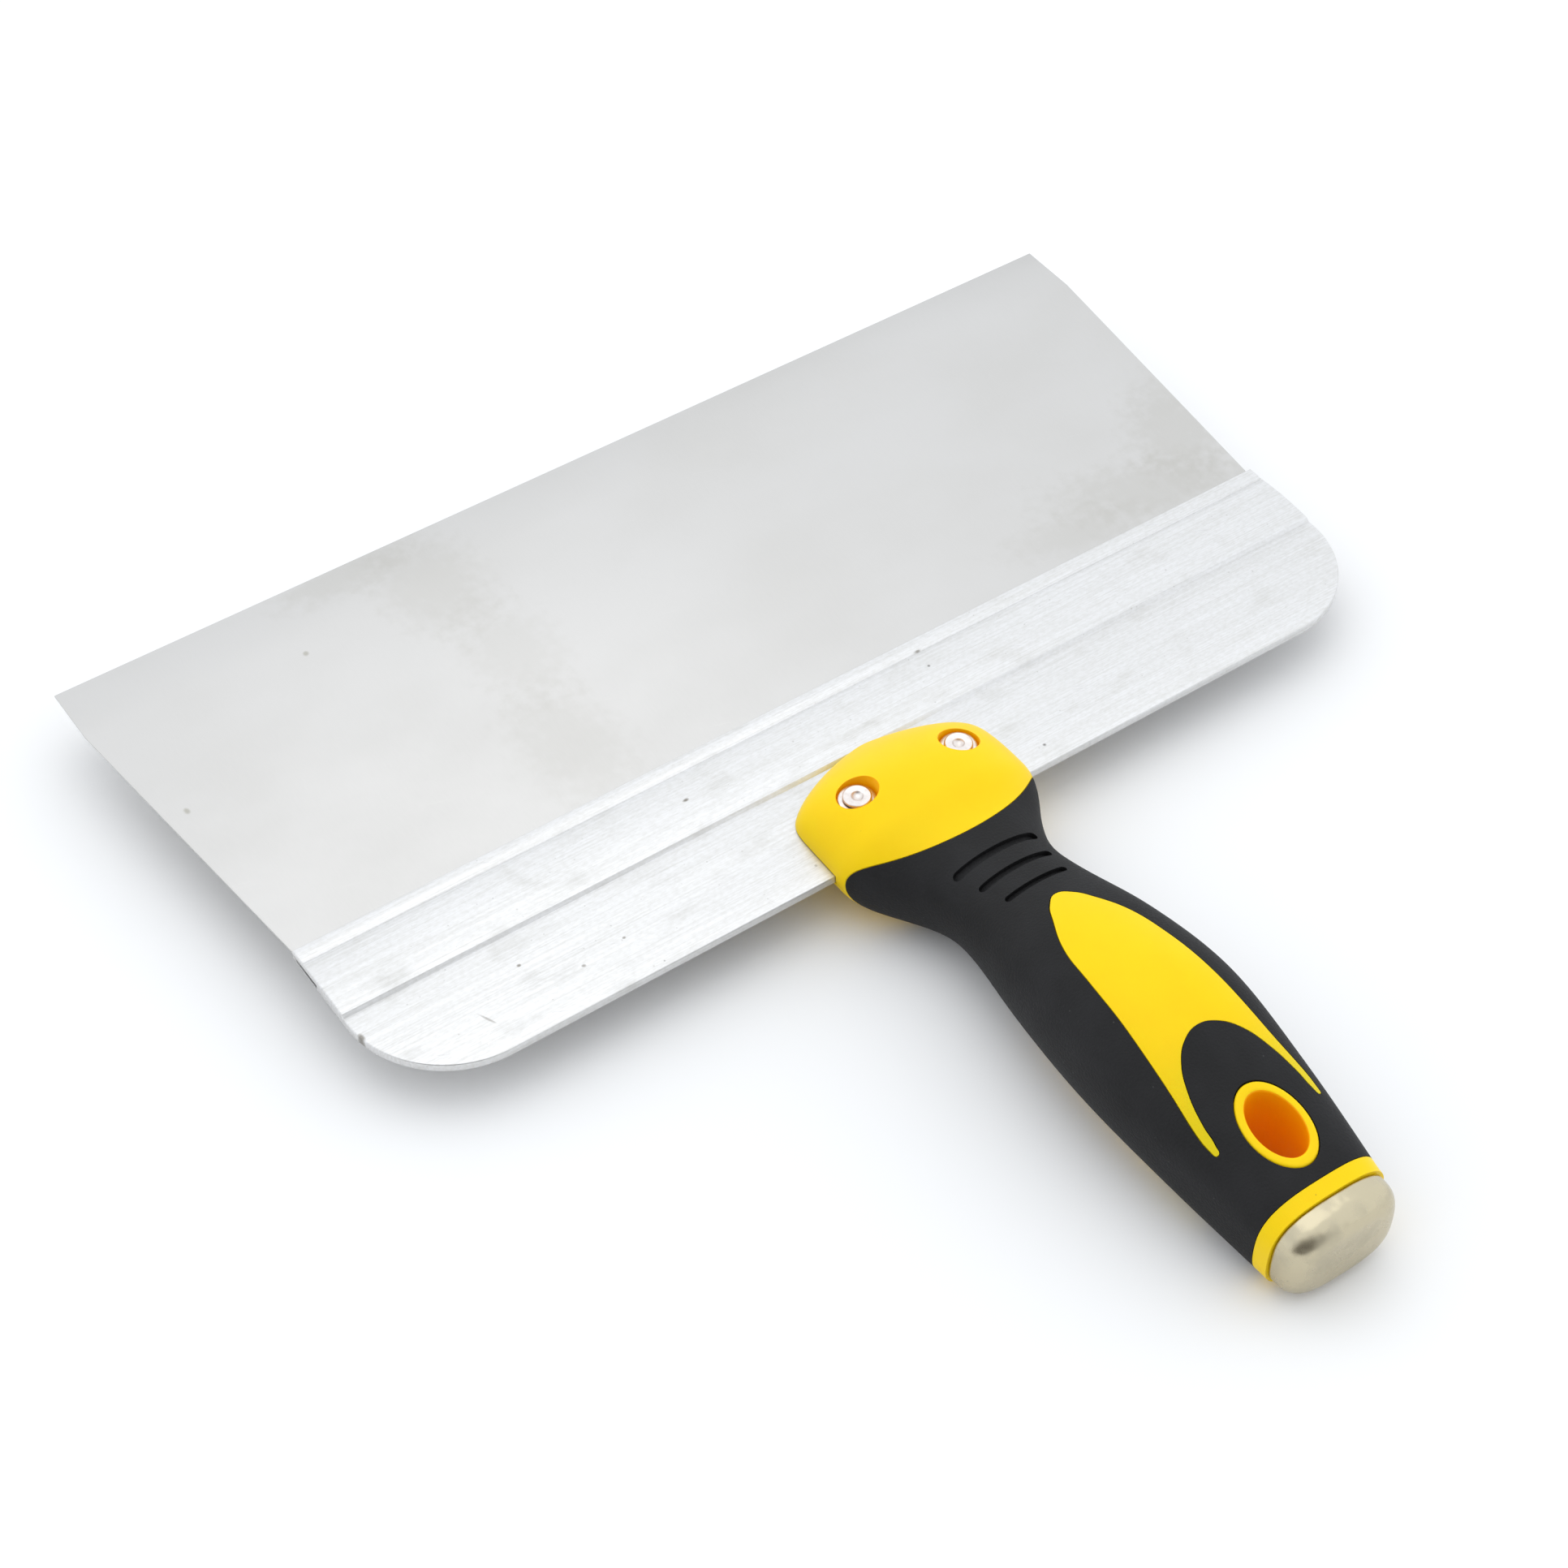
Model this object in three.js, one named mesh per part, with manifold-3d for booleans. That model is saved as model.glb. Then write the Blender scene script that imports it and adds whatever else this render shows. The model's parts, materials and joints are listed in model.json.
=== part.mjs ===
// Drywall taping knife: a thin stainless blade held in the slot of an aluminium backing, and a moulded
// handle whose two jaws close over the backing and are riveted through it.
//
// Everything is first placed in the knife's own axes: X runs across the blade, Y points from the handle
// to the working edge, Z is up, y = 0 is the backing's front lip and z = 0 the blade's upper face. The
// whole knife is then turned about X and set down, so that the underside of the head and of the butt
// end rest on z = 0, with the origin in the middle of the footprint. Lengths are millimetres.
import * as THREE from "three";
import { mergeVertices } from "three/addons/utils/BufferGeometryUtils.js";
import Module from "manifold-3d";

// ---- Driving dimensions --------------------------------------------------------------------------

const fitGap = 0.25; // clearance that every pair of touching pieces keeps

// blade
const bladeWidth = 254; // along the working edge
const bladeWidthAtLip = 236.6; // where it leaves the backing
const bladeReach = 86.9; // from the lip to the working edge
const bladeThickness = 0.5;
const cornerClipAlong = 14; // small chamfer at each end of the working edge
const cornerClipAcross = 1.5;

// backing
const backingLength = 237.4;
const backingDepth = 43; // lip to rear edge
const backingCornerRadius = 22.5;
const slotDepth = 9.2;
const lipThickness = 2.6; // both lips with the blade's slot between them
const crownHeight = 0.4; // how far the pocket's upper face bulges over the lip
const plateThickness = 2; // rear of the backing, behind the step
const stepFromLip = 18.7;
const creaseFromLip = 3.6; // fine line along the upper lip
const creaseWidth = 0.5;
const creaseDepth = 0.15;

// head of the handle
const headBehindStep = 1; // the backing's step to the front of the head
const headHalfWidth = 23;
const headFrontRadius = 36;
const headShoulderRadius = 6;
const headWall = 3.4; // height of the head's edge above the blade
const headTop = 13.4;
const headRise = 22; // length over which the head climbs from its edge to its top
const headUnderside = 11.9;
const headUndersideRise = 10.3;
const riseSharpness = 2.2;

// grip and butt end
const headBehindBacking = 3; // rear of the backing to the end of the head's straight sides
const gripLength = 109.8; // from there to the collar
const collarLength = 3.3;
const seamRadius = 32.1; // curved front edge of the soft grip, seen from above
const seamReach = 9.7; // how far it runs back in the middle
const gripWall = 2.6;
const restPadDepth = 0.25; // how deep the flats under the head and the butt end are
const capLength = 6.6;
const capInset = 0.5; // step down from the collar to the cap
const capWall = 2.2;
const capFaceThickness = 4.2;
const capRounding = 4.6;

// rivets
const rivetSpacing = 24.6;
const rivetFromRear = 8; // rear of the backing to the rivets
const rivetShankRadius = 2;
const washerRadius = 3.85;
const washerThickness = 0.8;
const recessRadius = 4.2;
const recessFloor = 8.1; // above the blade's upper face, and as far below its lower face
const rivetHeadThickness = 1.1;
const rollRadius = 2.9; // the rivet's hollow tail, rolled over the washer
const rollHeight = 0.7;
const dimpleRadius = 1.1;
const dimpleDepth = 0.8;

// openings and markings of the grip
const hangHoleFromEnd = 12.1; // collar to the middle of the hole
const hangHoleHalfWidth = 4.75;
const hangHoleHalfLength = 6.9;
const hangRimWidth = 1.8;
const hangRimExtraLength = 0.5;
const inlayStart = 34.6; // grip start to the inlay's tip
const inlayEnd = 13.5; // collar to the ends of its legs
const grooveStart = 17; // grip start to the first finger groove
const groovePitch = 6.1;
const grooveHalfLengths = [9.9, 8.5, 7.2];
const grooveRadius = 0.9;
const grooveDepth = 1.2;

// Outline of the grip: t runs from its front (0) to the collar's rear end (1). halfWidth is measured
// from the middle plane, over and under from the blade's upper face, and power is the exponent of the
// section, 2 for an ellipse and more for a squarer one.
const gripStations = [
  { t: 0, halfWidth: headHalfWidth, over: headTop, under: 11.2, power: 2.4 },
  { t: 0.03, halfWidth: 21.8, over: 12.5, under: 11.04, power: 2.37 },
  { t: 0.07, halfWidth: 18.6, over: 11.7, under: 10.7, power: 2.32 },
  { t: 0.16, halfWidth: 13.6, over: 13.0, under: 8.8, power: 2.21 },
  { t: 0.24, halfWidth: 13.7, over: 14.9, under: 6.9, power: 2.24 },
  { t: 0.4, halfWidth: 16.7, over: 19.7, under: 6.5, power: 2.35 },
  { t: 0.58, halfWidth: 18.2, over: 21.9, under: 6.3, power: 2.52 },
  { t: 0.78, halfWidth: 16.7, over: 17.7, under: 6.1, power: 2.76 },
  { t: 1, halfWidth: 13.2, over: 13.1, under: 7.6, power: 3.3 },
];

// Half outline of the inlay: t runs from its tip (0) to the ends of its legs (1), x from the middle.
const inlayOuterEdge = [
  { t: 0.03, x: 2.9 },
  { t: 0.09, x: 5.1 },
  { t: 0.2, x: 8.1 },
  { t: 0.34, x: 9.6 },
  { t: 0.54, x: 10.8 },
  { t: 0.75, x: 11.7 },
  { t: 0.98, x: 12.6 },
];
const inlayInnerEdge = [
  { t: 0.98, x: 11.0 },
  { t: 0.91, x: 10.7 },
  { t: 0.81, x: 9.3 },
  { t: 0.73, x: 7.0 },
  { t: 0.68, x: 3.8 },
];
const inlayNotch = 0.66; // t of the notch's top

// mesh fineness
const sectionPoints = 36;
const insidePoints = 20;
const headSlices = 8;
const gripSlices = 18;
const insideSlices = 9;
const roundSegments = 24;
const seamSegments = 60;
const ovalSegments = 11;
const backingSegments = 10;

// ---- Derived places ------------------------------------------------------------------------------

const bladeMiddle = -bladeThickness / 2;
const backingUnderside = bladeMiddle - plateThickness / 2;
const plateTop = bladeMiddle + plateThickness / 2;
const lipTop = backingUnderside + lipThickness;
const slotTop = fitGap;
const slotBottom = -bladeThickness - fitGap;
const headFront = stepFromLip + headBehindStep; // distances behind the lip, from here on
const gripStart = backingDepth + headBehindBacking;
const rivetFromLip = backingDepth - rivetFromRear;
const collarStart = gripStart + gripLength;
const collarEnd = collarStart + collarLength;
const capEnd = collarEnd + capLength;
const hangHoleFromLip = collarStart - hangHoleFromEnd;
const seamCentre = gripStart + seamReach - seamRadius; // distance of the seam's centre behind the lip
const tall = 60; // height of cutting prisms, more than the knife's own
const wide = 60; // half width of cutting blocks across the handle
const pastLip = 1; // how far cutting shapes run past the backing's lip and ends
const bondLength = 6; // how far the core's inner bar runs forward into the head
const mergeDistance = 1e-4;

// ---- Solids --------------------------------------------------------------------------------------

const wasm = await Module();
wasm.setup();

// A closed three.js geometry as a solid that can be joined and cut.
function solidOf(geometry) {
  const bare = geometry.clone();
  bare.deleteAttribute("normal");
  bare.deleteAttribute("uv");
  const merged = mergeVertices(bare, mergeDistance);
  return new wasm.Manifold(
    new wasm.Mesh({
      numProp: 3,
      vertProperties: merged.attributes.position.array,
      triVerts: new Uint32Array(merged.index.array),
    }),
  );
}

function geometryOf(solid) {
  const mesh = solid.getMesh();
  const geometry = new THREE.BufferGeometry();
  geometry.setAttribute("position", new THREE.BufferAttribute(mesh.vertProperties, 3));
  geometry.setIndex(new THREE.BufferAttribute(mesh.triVerts, 1));
  geometry.computeVertexNormals();
  return geometry;
}

function block(lowX, lowY, lowZ, highX, highY, highZ) {
  const geometry = new THREE.BoxGeometry(highX - lowX, highY - lowY, highZ - lowZ);
  geometry.translate((lowX + highX) / 2, (lowY + highY) / 2, (lowZ + highZ) / 2);
  return solidOf(geometry);
}

// A shape in the XY plane, raised from lowZ to highZ.
function prism(shape, lowZ, highZ, curveSegments = 8) {
  const geometry = new THREE.ExtrudeGeometry(shape, {
    depth: highZ - lowZ,
    bevelEnabled: false,
    curveSegments,
  });
  geometry.translate(0, 0, lowZ);
  return solidOf(geometry);
}

// A half profile of [radius, z] points turned about a vertical axis at x, y.
function turned(profile, x, y) {
  const points = profile.map(([radius, z]) => new THREE.Vector2(radius, z));
  const geometry = new THREE.LatheGeometry(points, roundSegments);
  geometry.rotateX(Math.PI / 2);
  geometry.translate(x, y, 0);
  return solidOf(geometry);
}

// Value of one property of a list of stations at t, on a smooth curve through them.
function smoothAt(stations, key, t) {
  const last = stations.length - 1;
  let i = 0;
  while (i < last - 1 && t > stations[i + 1].t) i += 1;
  const slopeAt = (k) => {
    const before = stations[Math.max(k - 1, 0)];
    const after = stations[Math.min(k + 1, last)];
    return (after[key] - before[key]) / (after.t - before.t);
  };
  const span = stations[i + 1].t - stations[i].t;
  const u = Math.min(Math.max((t - stations[i].t) / span, 0), 1);
  const blend = u * u * (3 - 2 * u);
  const fromStart = span * slopeAt(i) * u * (1 - u) * (1 - u);
  const fromEnd = span * slopeAt(i + 1) * u * u * (1 - u);
  return stations[i][key] * (1 - blend) + stations[i + 1][key] * blend + fromStart - fromEnd;
}

// ---- Blade ---------------------------------------------------------------------------------------

function bladeHalfWidthAt(y) {
  const flare = (bladeWidth - bladeWidthAtLip) / 2 / bladeReach;
  return bladeWidthAtLip / 2 + flare * y;
}

function makeBlade() {
  const rear = -slotDepth + fitGap;
  const rightSide = [
    [bladeHalfWidthAt(rear), rear],
    [bladeHalfWidthAt(bladeReach - cornerClipAlong), bladeReach - cornerClipAlong],
    [bladeWidth / 2 - cornerClipAcross, bladeReach],
  ];
  const leftSide = rightSide.map(([x, y]) => [-x, y]).reverse();
  const outline = [...rightSide, ...leftSide].map(([x, y]) => new THREE.Vector2(x, y));
  return prism(new THREE.Shape(outline), -bladeThickness, 0);
}

// ---- Backing -------------------------------------------------------------------------------------

function backingSection() {
  const section = new THREE.Shape();
  const creaseRear = creaseFromLip + creaseWidth;
  const stepRamp = 0.35;
  section.moveTo(0, backingUnderside);
  section.lineTo(0, lipTop - stepRamp);
  section.lineTo(-stepRamp, lipTop);
  section.lineTo(-creaseFromLip, lipTop);
  section.lineTo(-creaseFromLip - creaseWidth / 2, lipTop - creaseDepth);
  section.lineTo(-creaseRear, lipTop);
  const crownMiddle = -(creaseRear + stepFromLip) / 2;
  section.quadraticCurveTo(crownMiddle, lipTop + 2 * crownHeight, -stepFromLip, lipTop);
  section.lineTo(-stepFromLip - stepRamp, plateTop);
  section.lineTo(-backingDepth, plateTop);
  section.lineTo(-backingDepth, backingUnderside);
  section.closePath();
  return section;
}

function backingOutline() {
  const half = backingLength / 2;
  const cornerX = half - backingCornerRadius;
  const cornerY = -backingDepth + backingCornerRadius;
  const outline = new THREE.Shape();
  outline.moveTo(-half, pastLip);
  outline.lineTo(-half, cornerY);
  outline.absarc(-cornerX, cornerY, backingCornerRadius, Math.PI, 1.5 * Math.PI, false);
  outline.lineTo(cornerX, -backingDepth);
  outline.absarc(cornerX, cornerY, backingCornerRadius, 1.5 * Math.PI, 2 * Math.PI, false);
  outline.lineTo(half, pastLip);
  outline.closePath();
  return outline;
}

function makeBacking() {
  const bar = new THREE.ExtrudeGeometry(backingSection(), {
    depth: backingLength,
    bevelEnabled: false,
    curveSegments: backingSegments,
  });
  // the section's own axes become Y and Z, and its depth runs along X
  bar.rotateX(Math.PI / 2);
  bar.rotateZ(Math.PI / 2);
  bar.translate(-backingLength / 2, 0, 0);
  const corners = prism(backingOutline(), -tall, tall, backingSegments);
  const pastEnd = backingLength / 2 + pastLip;
  const slot = block(-pastEnd, -slotDepth, slotBottom, pastEnd, pastLip, slotTop);
  let backing = solidOf(bar).intersect(corners).subtract(slot);
  for (const x of rivetPlaces) {
    backing = backing.subtract(upright(rivetShankRadius + fitGap, x, -rivetFromLip, -tall, tall));
  }
  return backing;
}

// ---- Handle --------------------------------------------------------------------------------------

// Half width of the head at a distance behind the lip: a shallow front arc, round shoulders and
// straight sides.
function headHalfWidthAt(distance) {
  const fromArcCentre = headFront + headFrontRadius - distance;
  const shoulderX = headHalfWidth - headShoulderRadius;
  const reach = headFrontRadius - headShoulderRadius;
  const shoulderY = Math.sqrt(reach * reach - shoulderX * shoulderX);
  const tangentY = (shoulderY * headFrontRadius) / reach;
  if (fromArcCentre >= tangentY) {
    return Math.sqrt(headFrontRadius ** 2 - fromArcCentre ** 2);
  }
  if (fromArcCentre >= shoulderY) {
    return shoulderX + Math.sqrt(headShoulderRadius ** 2 - (fromArcCentre - shoulderY) ** 2);
  }
  return headHalfWidth;
}

function climb(distance, length) {
  const share = Math.min(Math.max((distance - headFront) / length, 0), 1);
  return 1 - (1 - share) ** riseSharpness;
}

// Section of the handle at a distance behind the lip.
function sectionAt(distance) {
  if (distance < gripStart) {
    const settled = headFront + headUndersideRise;
    const back = Math.max(distance - settled, 0) / (gripStart - settled);
    const under = headWall + (headUnderside - headWall) * climb(distance, headUndersideRise);
    return {
      halfWidth: headHalfWidthAt(distance),
      over: headWall + (headTop - headWall) * climb(distance, headRise),
      under: under + (gripStations[0].under - headUnderside) * back,
      power: gripStations[0].power,
    };
  }
  const t = (distance - gripStart) / (collarEnd - gripStart);
  return {
    halfWidth: smoothAt(gripStations, "halfWidth", t),
    over: smoothAt(gripStations, "over", t),
    under: smoothAt(gripStations, "under", t),
    power: smoothAt(gripStations, "power", t),
  };
}

// One ring of the handle's skin. Its points straddle the middle plane, so top and bottom are level.
function ringPoints(section, distance, inset, count = sectionPoints) {
  const a = section.halfWidth - inset;
  const b = (section.over + section.under) / 2 - inset;
  const middle = (section.over - section.under) / 2;
  const points = [];
  for (let i = 0; i < count; i += 1) {
    const angle = (2 * Math.PI * (i + 0.5)) / count;
    const across = Math.cos(angle);
    const upward = Math.sin(angle);
    const x = a * Math.sign(across) * Math.abs(across) ** (2 / section.power);
    const z = middle + b * Math.sign(upward) * Math.abs(upward) ** (2 / section.power);
    points.push([x, -distance, z]);
  }
  return points;
}

// A closed skin over a row of rings that run from the front to the back.
function skin(rings) {
  const count = rings[0].length;
  const positions = rings.flat(2);
  const index = [];
  for (let r = 0; r < rings.length - 1; r += 1) {
    for (let i = 0; i < count; i += 1) {
      const here = r * count + i;
      const next = r * count + ((i + 1) % count);
      index.push(here, next, here + count, next, next + count, here + count);
    }
  }
  for (const [row, turnedBack] of [[0, false], [rings.length - 1, true]]) {
    const ring = rings[row];
    const centre = [0, 1, 2].map((k) => ring.reduce((sum, p) => sum + p[k], 0) / count);
    const hub = positions.length / 3;
    positions.push(...centre);
    for (let i = 0; i < count; i += 1) {
      const here = row * count + i;
      const next = row * count + ((i + 1) % count);
      index.push(...(turnedBack ? [hub, here, next] : [hub, next, here]));
    }
  }
  const geometry = new THREE.BufferGeometry();
  geometry.setAttribute("position", new THREE.Float32BufferAttribute(positions, 3));
  geometry.setIndex(index);
  return solidOf(geometry);
}

function headDistances() {
  const frontFacet = 0.12;
  const distances = [];
  for (let i = 0; i < headSlices; i += 1) {
    const share = i / headSlices;
    distances.push(headFront + frontFacet + (gripStart - headFront - frontFacet) * share ** 2);
  }
  return distances;
}

function gripDistances(from, to, slices) {
  const distances = [];
  for (let i = 0; i <= slices; i += 1) distances.push(from + ((to - from) * i) / slices);
  return distances;
}

function handleDistances() {
  return [...headDistances(), ...gripDistances(gripStart, collarEnd, gripSlices)];
}

function handleBody() {
  return skin(handleDistances().map((d) => ringPoints(sectionAt(d), d, 0)));
}

// The inside of the soft grip: the handle's own shape, smaller all round.
function gripInside(inset) {
  const rear = collarStart + collarLength / 2;
  const distances = gripDistances(gripStart - bondLength, rear, insideSlices);
  return skin(distances.map((d) => ringPoints(sectionAt(d), d, inset, insidePoints)));
}

function upright(radius, x, y, lowZ, highZ) {
  const geometry = new THREE.CylinderGeometry(radius, radius, highZ - lowZ, roundSegments);
  geometry.rotateX(Math.PI / 2);
  geometry.translate(x, y, (lowZ + highZ) / 2);
  return solidOf(geometry);
}

// Everything between the head's curved seam and the collar. A margin makes the zone larger all round.
function gripZone(margin) {
  const radius = seamRadius - margin;
  const seam = new THREE.CylinderGeometry(radius, radius, 2 * tall, seamSegments);
  seam.rotateX(Math.PI / 2);
  seam.translate(0, -seamCentre, 0);
  const zone = block(-wide, -collarStart - margin, -tall, wide, -seamCentre, tall);
  return zone.subtract(solidOf(seam));
}

function oval(halfWidth, halfLength) {
  const shape = new THREE.Shape();
  shape.absellipse(0, -hangHoleFromLip, halfWidth, halfLength, 0, 2 * Math.PI, false);
  return prism(shape, -tall, tall, ovalSegments);
}

// The inlay's outline. A margin draws every edge in, for the raised pad that fills the window.
function inlayShape(margin) {
  const start = gripStart + inlayStart + margin;
  const end = collarStart - inlayEnd - margin;
  const place = (t, x) => new THREE.Vector2(x, -(start + (end - start) * t));
  const outer = inlayOuterEdge.map(({ t, x }) => place(t, x - margin));
  const inner = inlayInnerEdge.map(({ t, x }) => place(t, x + margin));
  const legEnd = place(1, (inlayOuterEdge.at(-1).x + inlayInnerEdge[0].x) / 2);
  const tip = place(0, 0);
  const notch = place(inlayNotch, 0);
  const mirrored = (points) => points.map((p) => new THREE.Vector2(-p.x, p.y)).reverse();
  const outline = new THREE.Shape();
  outline.moveTo(tip.x, tip.y);
  outline.splineThru([...outer, legEnd]);
  outline.splineThru([...inner, notch, ...mirrored(inner), mirrored([legEnd])[0]]);
  outline.splineThru([...mirrored(outer), tip]);
  return outline;
}

// The inlay's two prisms, over and under the handle.
function inlays(margin) {
  const shape = inlayShape(margin);
  const clear = 3;
  return prism(shape, clear, tall, 2).add(prism(shape, -tall, -clear, 2));
}

// A finger groove that follows the upper face (side 1) or the underside (side -1).
function fingerGroove(distance, halfLength, side) {
  const section = sectionAt(distance);
  const b = (section.over + section.under) / 2;
  const middle = (section.over - section.under) / 2;
  const route = [];
  const steps = 6;
  for (let i = 0; i <= steps; i += 1) {
    const x = halfLength * ((2 * i) / steps - 1);
    const height = b * (1 - (Math.abs(x) / section.halfWidth) ** section.power) ** (1 / section.power);
    const lift = grooveRadius - grooveDepth;
    route.push(new THREE.Vector3(x, -distance, middle + side * (height + lift)));
  }
  const round = new THREE.Shape();
  round.absarc(0, 0, grooveRadius, 0, 2 * Math.PI, false);
  const geometry = new THREE.ExtrudeGeometry(round, {
    steps: 6,
    curveSegments: 4,
    bevelEnabled: false,
    extrudePath: new THREE.CatmullRomCurve3(route),
  });
  return solidOf(geometry);
}

// The line on which the knife rests, from its butt end to its head: its slope, and its height at the
// lip. It is tipped until nothing lies below it.
function restingLine() {
  const points = handleDistances().map((d) => ({ y: -d, z: -sectionAt(d).under }));
  const line = { slope: 0, height: 0 };
  const lowest = (list) => list.reduce((a, b) => (b.z - line.slope * b.y < a.z - line.slope * a.y ? b : a));
  for (let i = 0; i < 8; i += 1) {
    const front = lowest(points.filter((p) => p.y > -gripStart - 10));
    const butt = lowest(points.filter((p) => p.y < -gripStart - gripLength / 2));
    line.slope = (front.z - butt.z) / (front.y - butt.y);
    line.height = front.z - line.slope * front.y;
  }
  return line;
}

// All that lies below the resting line raised by a depth.
function belowRest(depth) {
  const { slope, height } = restingLine();
  const size = 4 * (gripLength + backingDepth);
  const geometry = new THREE.BoxGeometry(2 * wide, size, tall);
  geometry.translate(0, 0, -tall / 2);
  geometry.rotateX(Math.atan(slope));
  geometry.translate(0, 0, height + depth);
  return solidOf(geometry);
}

function makeGrip() {
  let grip = handleBody().intersect(gripZone(0)).subtract(gripInside(gripWall));
  const rimWidth = hangHoleHalfWidth + hangRimWidth;
  const rimLength = hangHoleHalfLength + hangRimWidth + hangRimExtraLength;
  grip = grip.subtract(inlays(0)).subtract(oval(rimWidth, rimLength));
  grooveHalfLengths.forEach((halfLength, i) => {
    const distance = gripStart + grooveStart + groovePitch * i;
    for (const side of [1, -1]) grip = grip.subtract(fingerGroove(distance, halfLength, side));
  });
  return grip;
}

function makeCore() {
  const body = handleBody();
  const rimWidth = hangHoleHalfWidth + hangRimWidth - fitGap;
  const rimLength = hangHoleHalfLength + hangRimWidth + hangRimExtraLength - fitGap;
  let core = body.subtract(gripZone(fitGap)).subtract(belowRest(restPadDepth));
  core = core.add(gripInside(gripWall + fitGap));
  core = core.add(body.intersect(inlays(fitGap)));
  core = core.add(body.intersect(oval(rimWidth, rimLength)));
  core = core.add(capBody(capWall + fitGap, collarStart, capEnd - capFaceThickness - fitGap));
  core = core.subtract(oval(hangHoleHalfWidth, hangHoleHalfLength));
  // the two jaws stand either side of the backing
  const jawRear = -backingDepth - fitGap;
  core = core.subtract(block(-wide, jawRear, backingUnderside - fitGap, wide, 0, plateTop + fitGap));
  for (const x of rivetPlaces) {
    const y = -rivetFromLip;
    core = core.subtract(upright(rivetShankRadius + fitGap, x, y, -tall, tall));
    core = core.subtract(upright(recessRadius, x, y, recessFloor, tall));
    core = core.subtract(upright(recessRadius, x, y, -tall, -recessFloor - bladeThickness));
  }
  return core;
}

// ---- Rivets --------------------------------------------------------------------------------------

const rivetPlaces = [-rivetSpacing / 2, rivetSpacing / 2];

// The washer lies on the floor of the upper recess.
function makeWasher(x) {
  const low = recessFloor + fitGap;
  const high = low + washerThickness;
  const bore = rivetShankRadius + fitGap;
  const edge = 0.2;
  const profile = [
    [bore, low],
    [washerRadius, low],
    [washerRadius, high - edge],
    [washerRadius - edge, high],
    [bore, high],
    [bore, low],
  ];
  return turned(profile, x, -rivetFromLip);
}

// Its domed head sits in the lower recess, and its hollow tail is rolled over the washer.
function makeRivet(x) {
  const headTopZ = -recessFloor - bladeThickness - fitGap;
  const headBottomZ = headTopZ - rivetHeadThickness;
  const tailLow = recessFloor + 2 * fitGap + washerThickness;
  const tailTop = tailLow + rollHeight;
  const flatShare = 0.7; // of the head's radius
  const shoulder = 0.2;
  const edge = 0.6;
  const rollEdge = 0.4;
  const rim = 0.1;
  const profile = [
    [0, headBottomZ],
    [washerRadius * flatShare, headBottomZ + shoulder],
    [washerRadius, headBottomZ + edge],
    [washerRadius, headTopZ],
    [rivetShankRadius, headTopZ],
    [rivetShankRadius, tailLow],
    [rollRadius, tailLow],
    [rollRadius, tailTop - rollEdge],
    [rollRadius - rollEdge, tailTop],
    [dimpleRadius, tailTop - rim],
    [0, tailTop - dimpleDepth],
  ];
  return turned(profile, x, -rivetFromLip);
}

// ---- Hammer cap ----------------------------------------------------------------------------------

// The cap's rounded block, or with an inset the tenon that fills its socket.
function capBody(inset, start, end) {
  const section = sectionAt(collarEnd);
  const rounding = capRounding - Math.min(inset, capRounding - 1);
  const steps = 6;
  const rings = [ringPoints(section, start, capInset + inset)];
  for (let i = 0; i <= steps; i += 1) {
    const angle = (Math.PI / 2) * (i / steps);
    const drawnIn = rounding * (1 - Math.cos(angle));
    rings.push(ringPoints(section, end - rounding * (1 - Math.sin(angle)), capInset + inset + drawnIn));
  }
  return skin(rings);
}

function makeCap() {
  const start = collarEnd + fitGap;
  const socket = capBody(capWall, start - 1, capEnd - capFaceThickness);
  return capBody(0, start, capEnd).subtract(socket);
}

// ---- Assembly ------------------------------------------------------------------------------------

const knife = new THREE.Group();

function addPiece(name, solid, color, roughness, metalness) {
  const material = new THREE.MeshStandardMaterial({ color, roughness, metalness });
  const mesh = new THREE.Mesh(geometryOf(solid), material);
  mesh.name = name;
  knife.add(mesh);
}

const steel = [0xd2d0ca, 0.38, 1];
const aluminium = [0xe4e5e7, 0.45, 1];
const yellowPlastic = [0xffd91c, 0.4, 0];
const blackRubber = [0x2b2b2e, 0.75, 0];
const zincSteel = [0xe6e0dc, 0.3, 1];
const nickel = [0xbdb7a4, 0.22, 1];

addPiece("blade", makeBlade(), ...steel);
addPiece("backing", makeBacking(), ...aluminium);
addPiece("handle_core", makeCore(), ...yellowPlastic);
addPiece("soft_grip", makeGrip(), ...blackRubber);
["left", "right"].forEach((side, i) => {
  addPiece(`rivet_${side}`, makeRivet(rivetPlaces[i]), ...zincSteel);
  addPiece(`rivet_washer_${side}`, makeWasher(rivetPlaces[i]), ...zincSteel);
});
addPiece("hammer_cap", makeCap(), ...nickel);

knife.rotation.x = -Math.atan(restingLine().slope);
knife.updateMatrixWorld(true);
const box = new THREE.Box3().setFromObject(knife, true);
knife.position.set(-(box.min.x + box.max.x) / 2, -(box.min.y + box.max.y) / 2, -box.min.z);

const tapingKnife = new THREE.Group();
tapingKnife.add(knife);

export default tapingKnife;
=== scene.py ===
import json
import math

import bmesh
import bpy
from mathutils import Matrix, Vector


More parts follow.
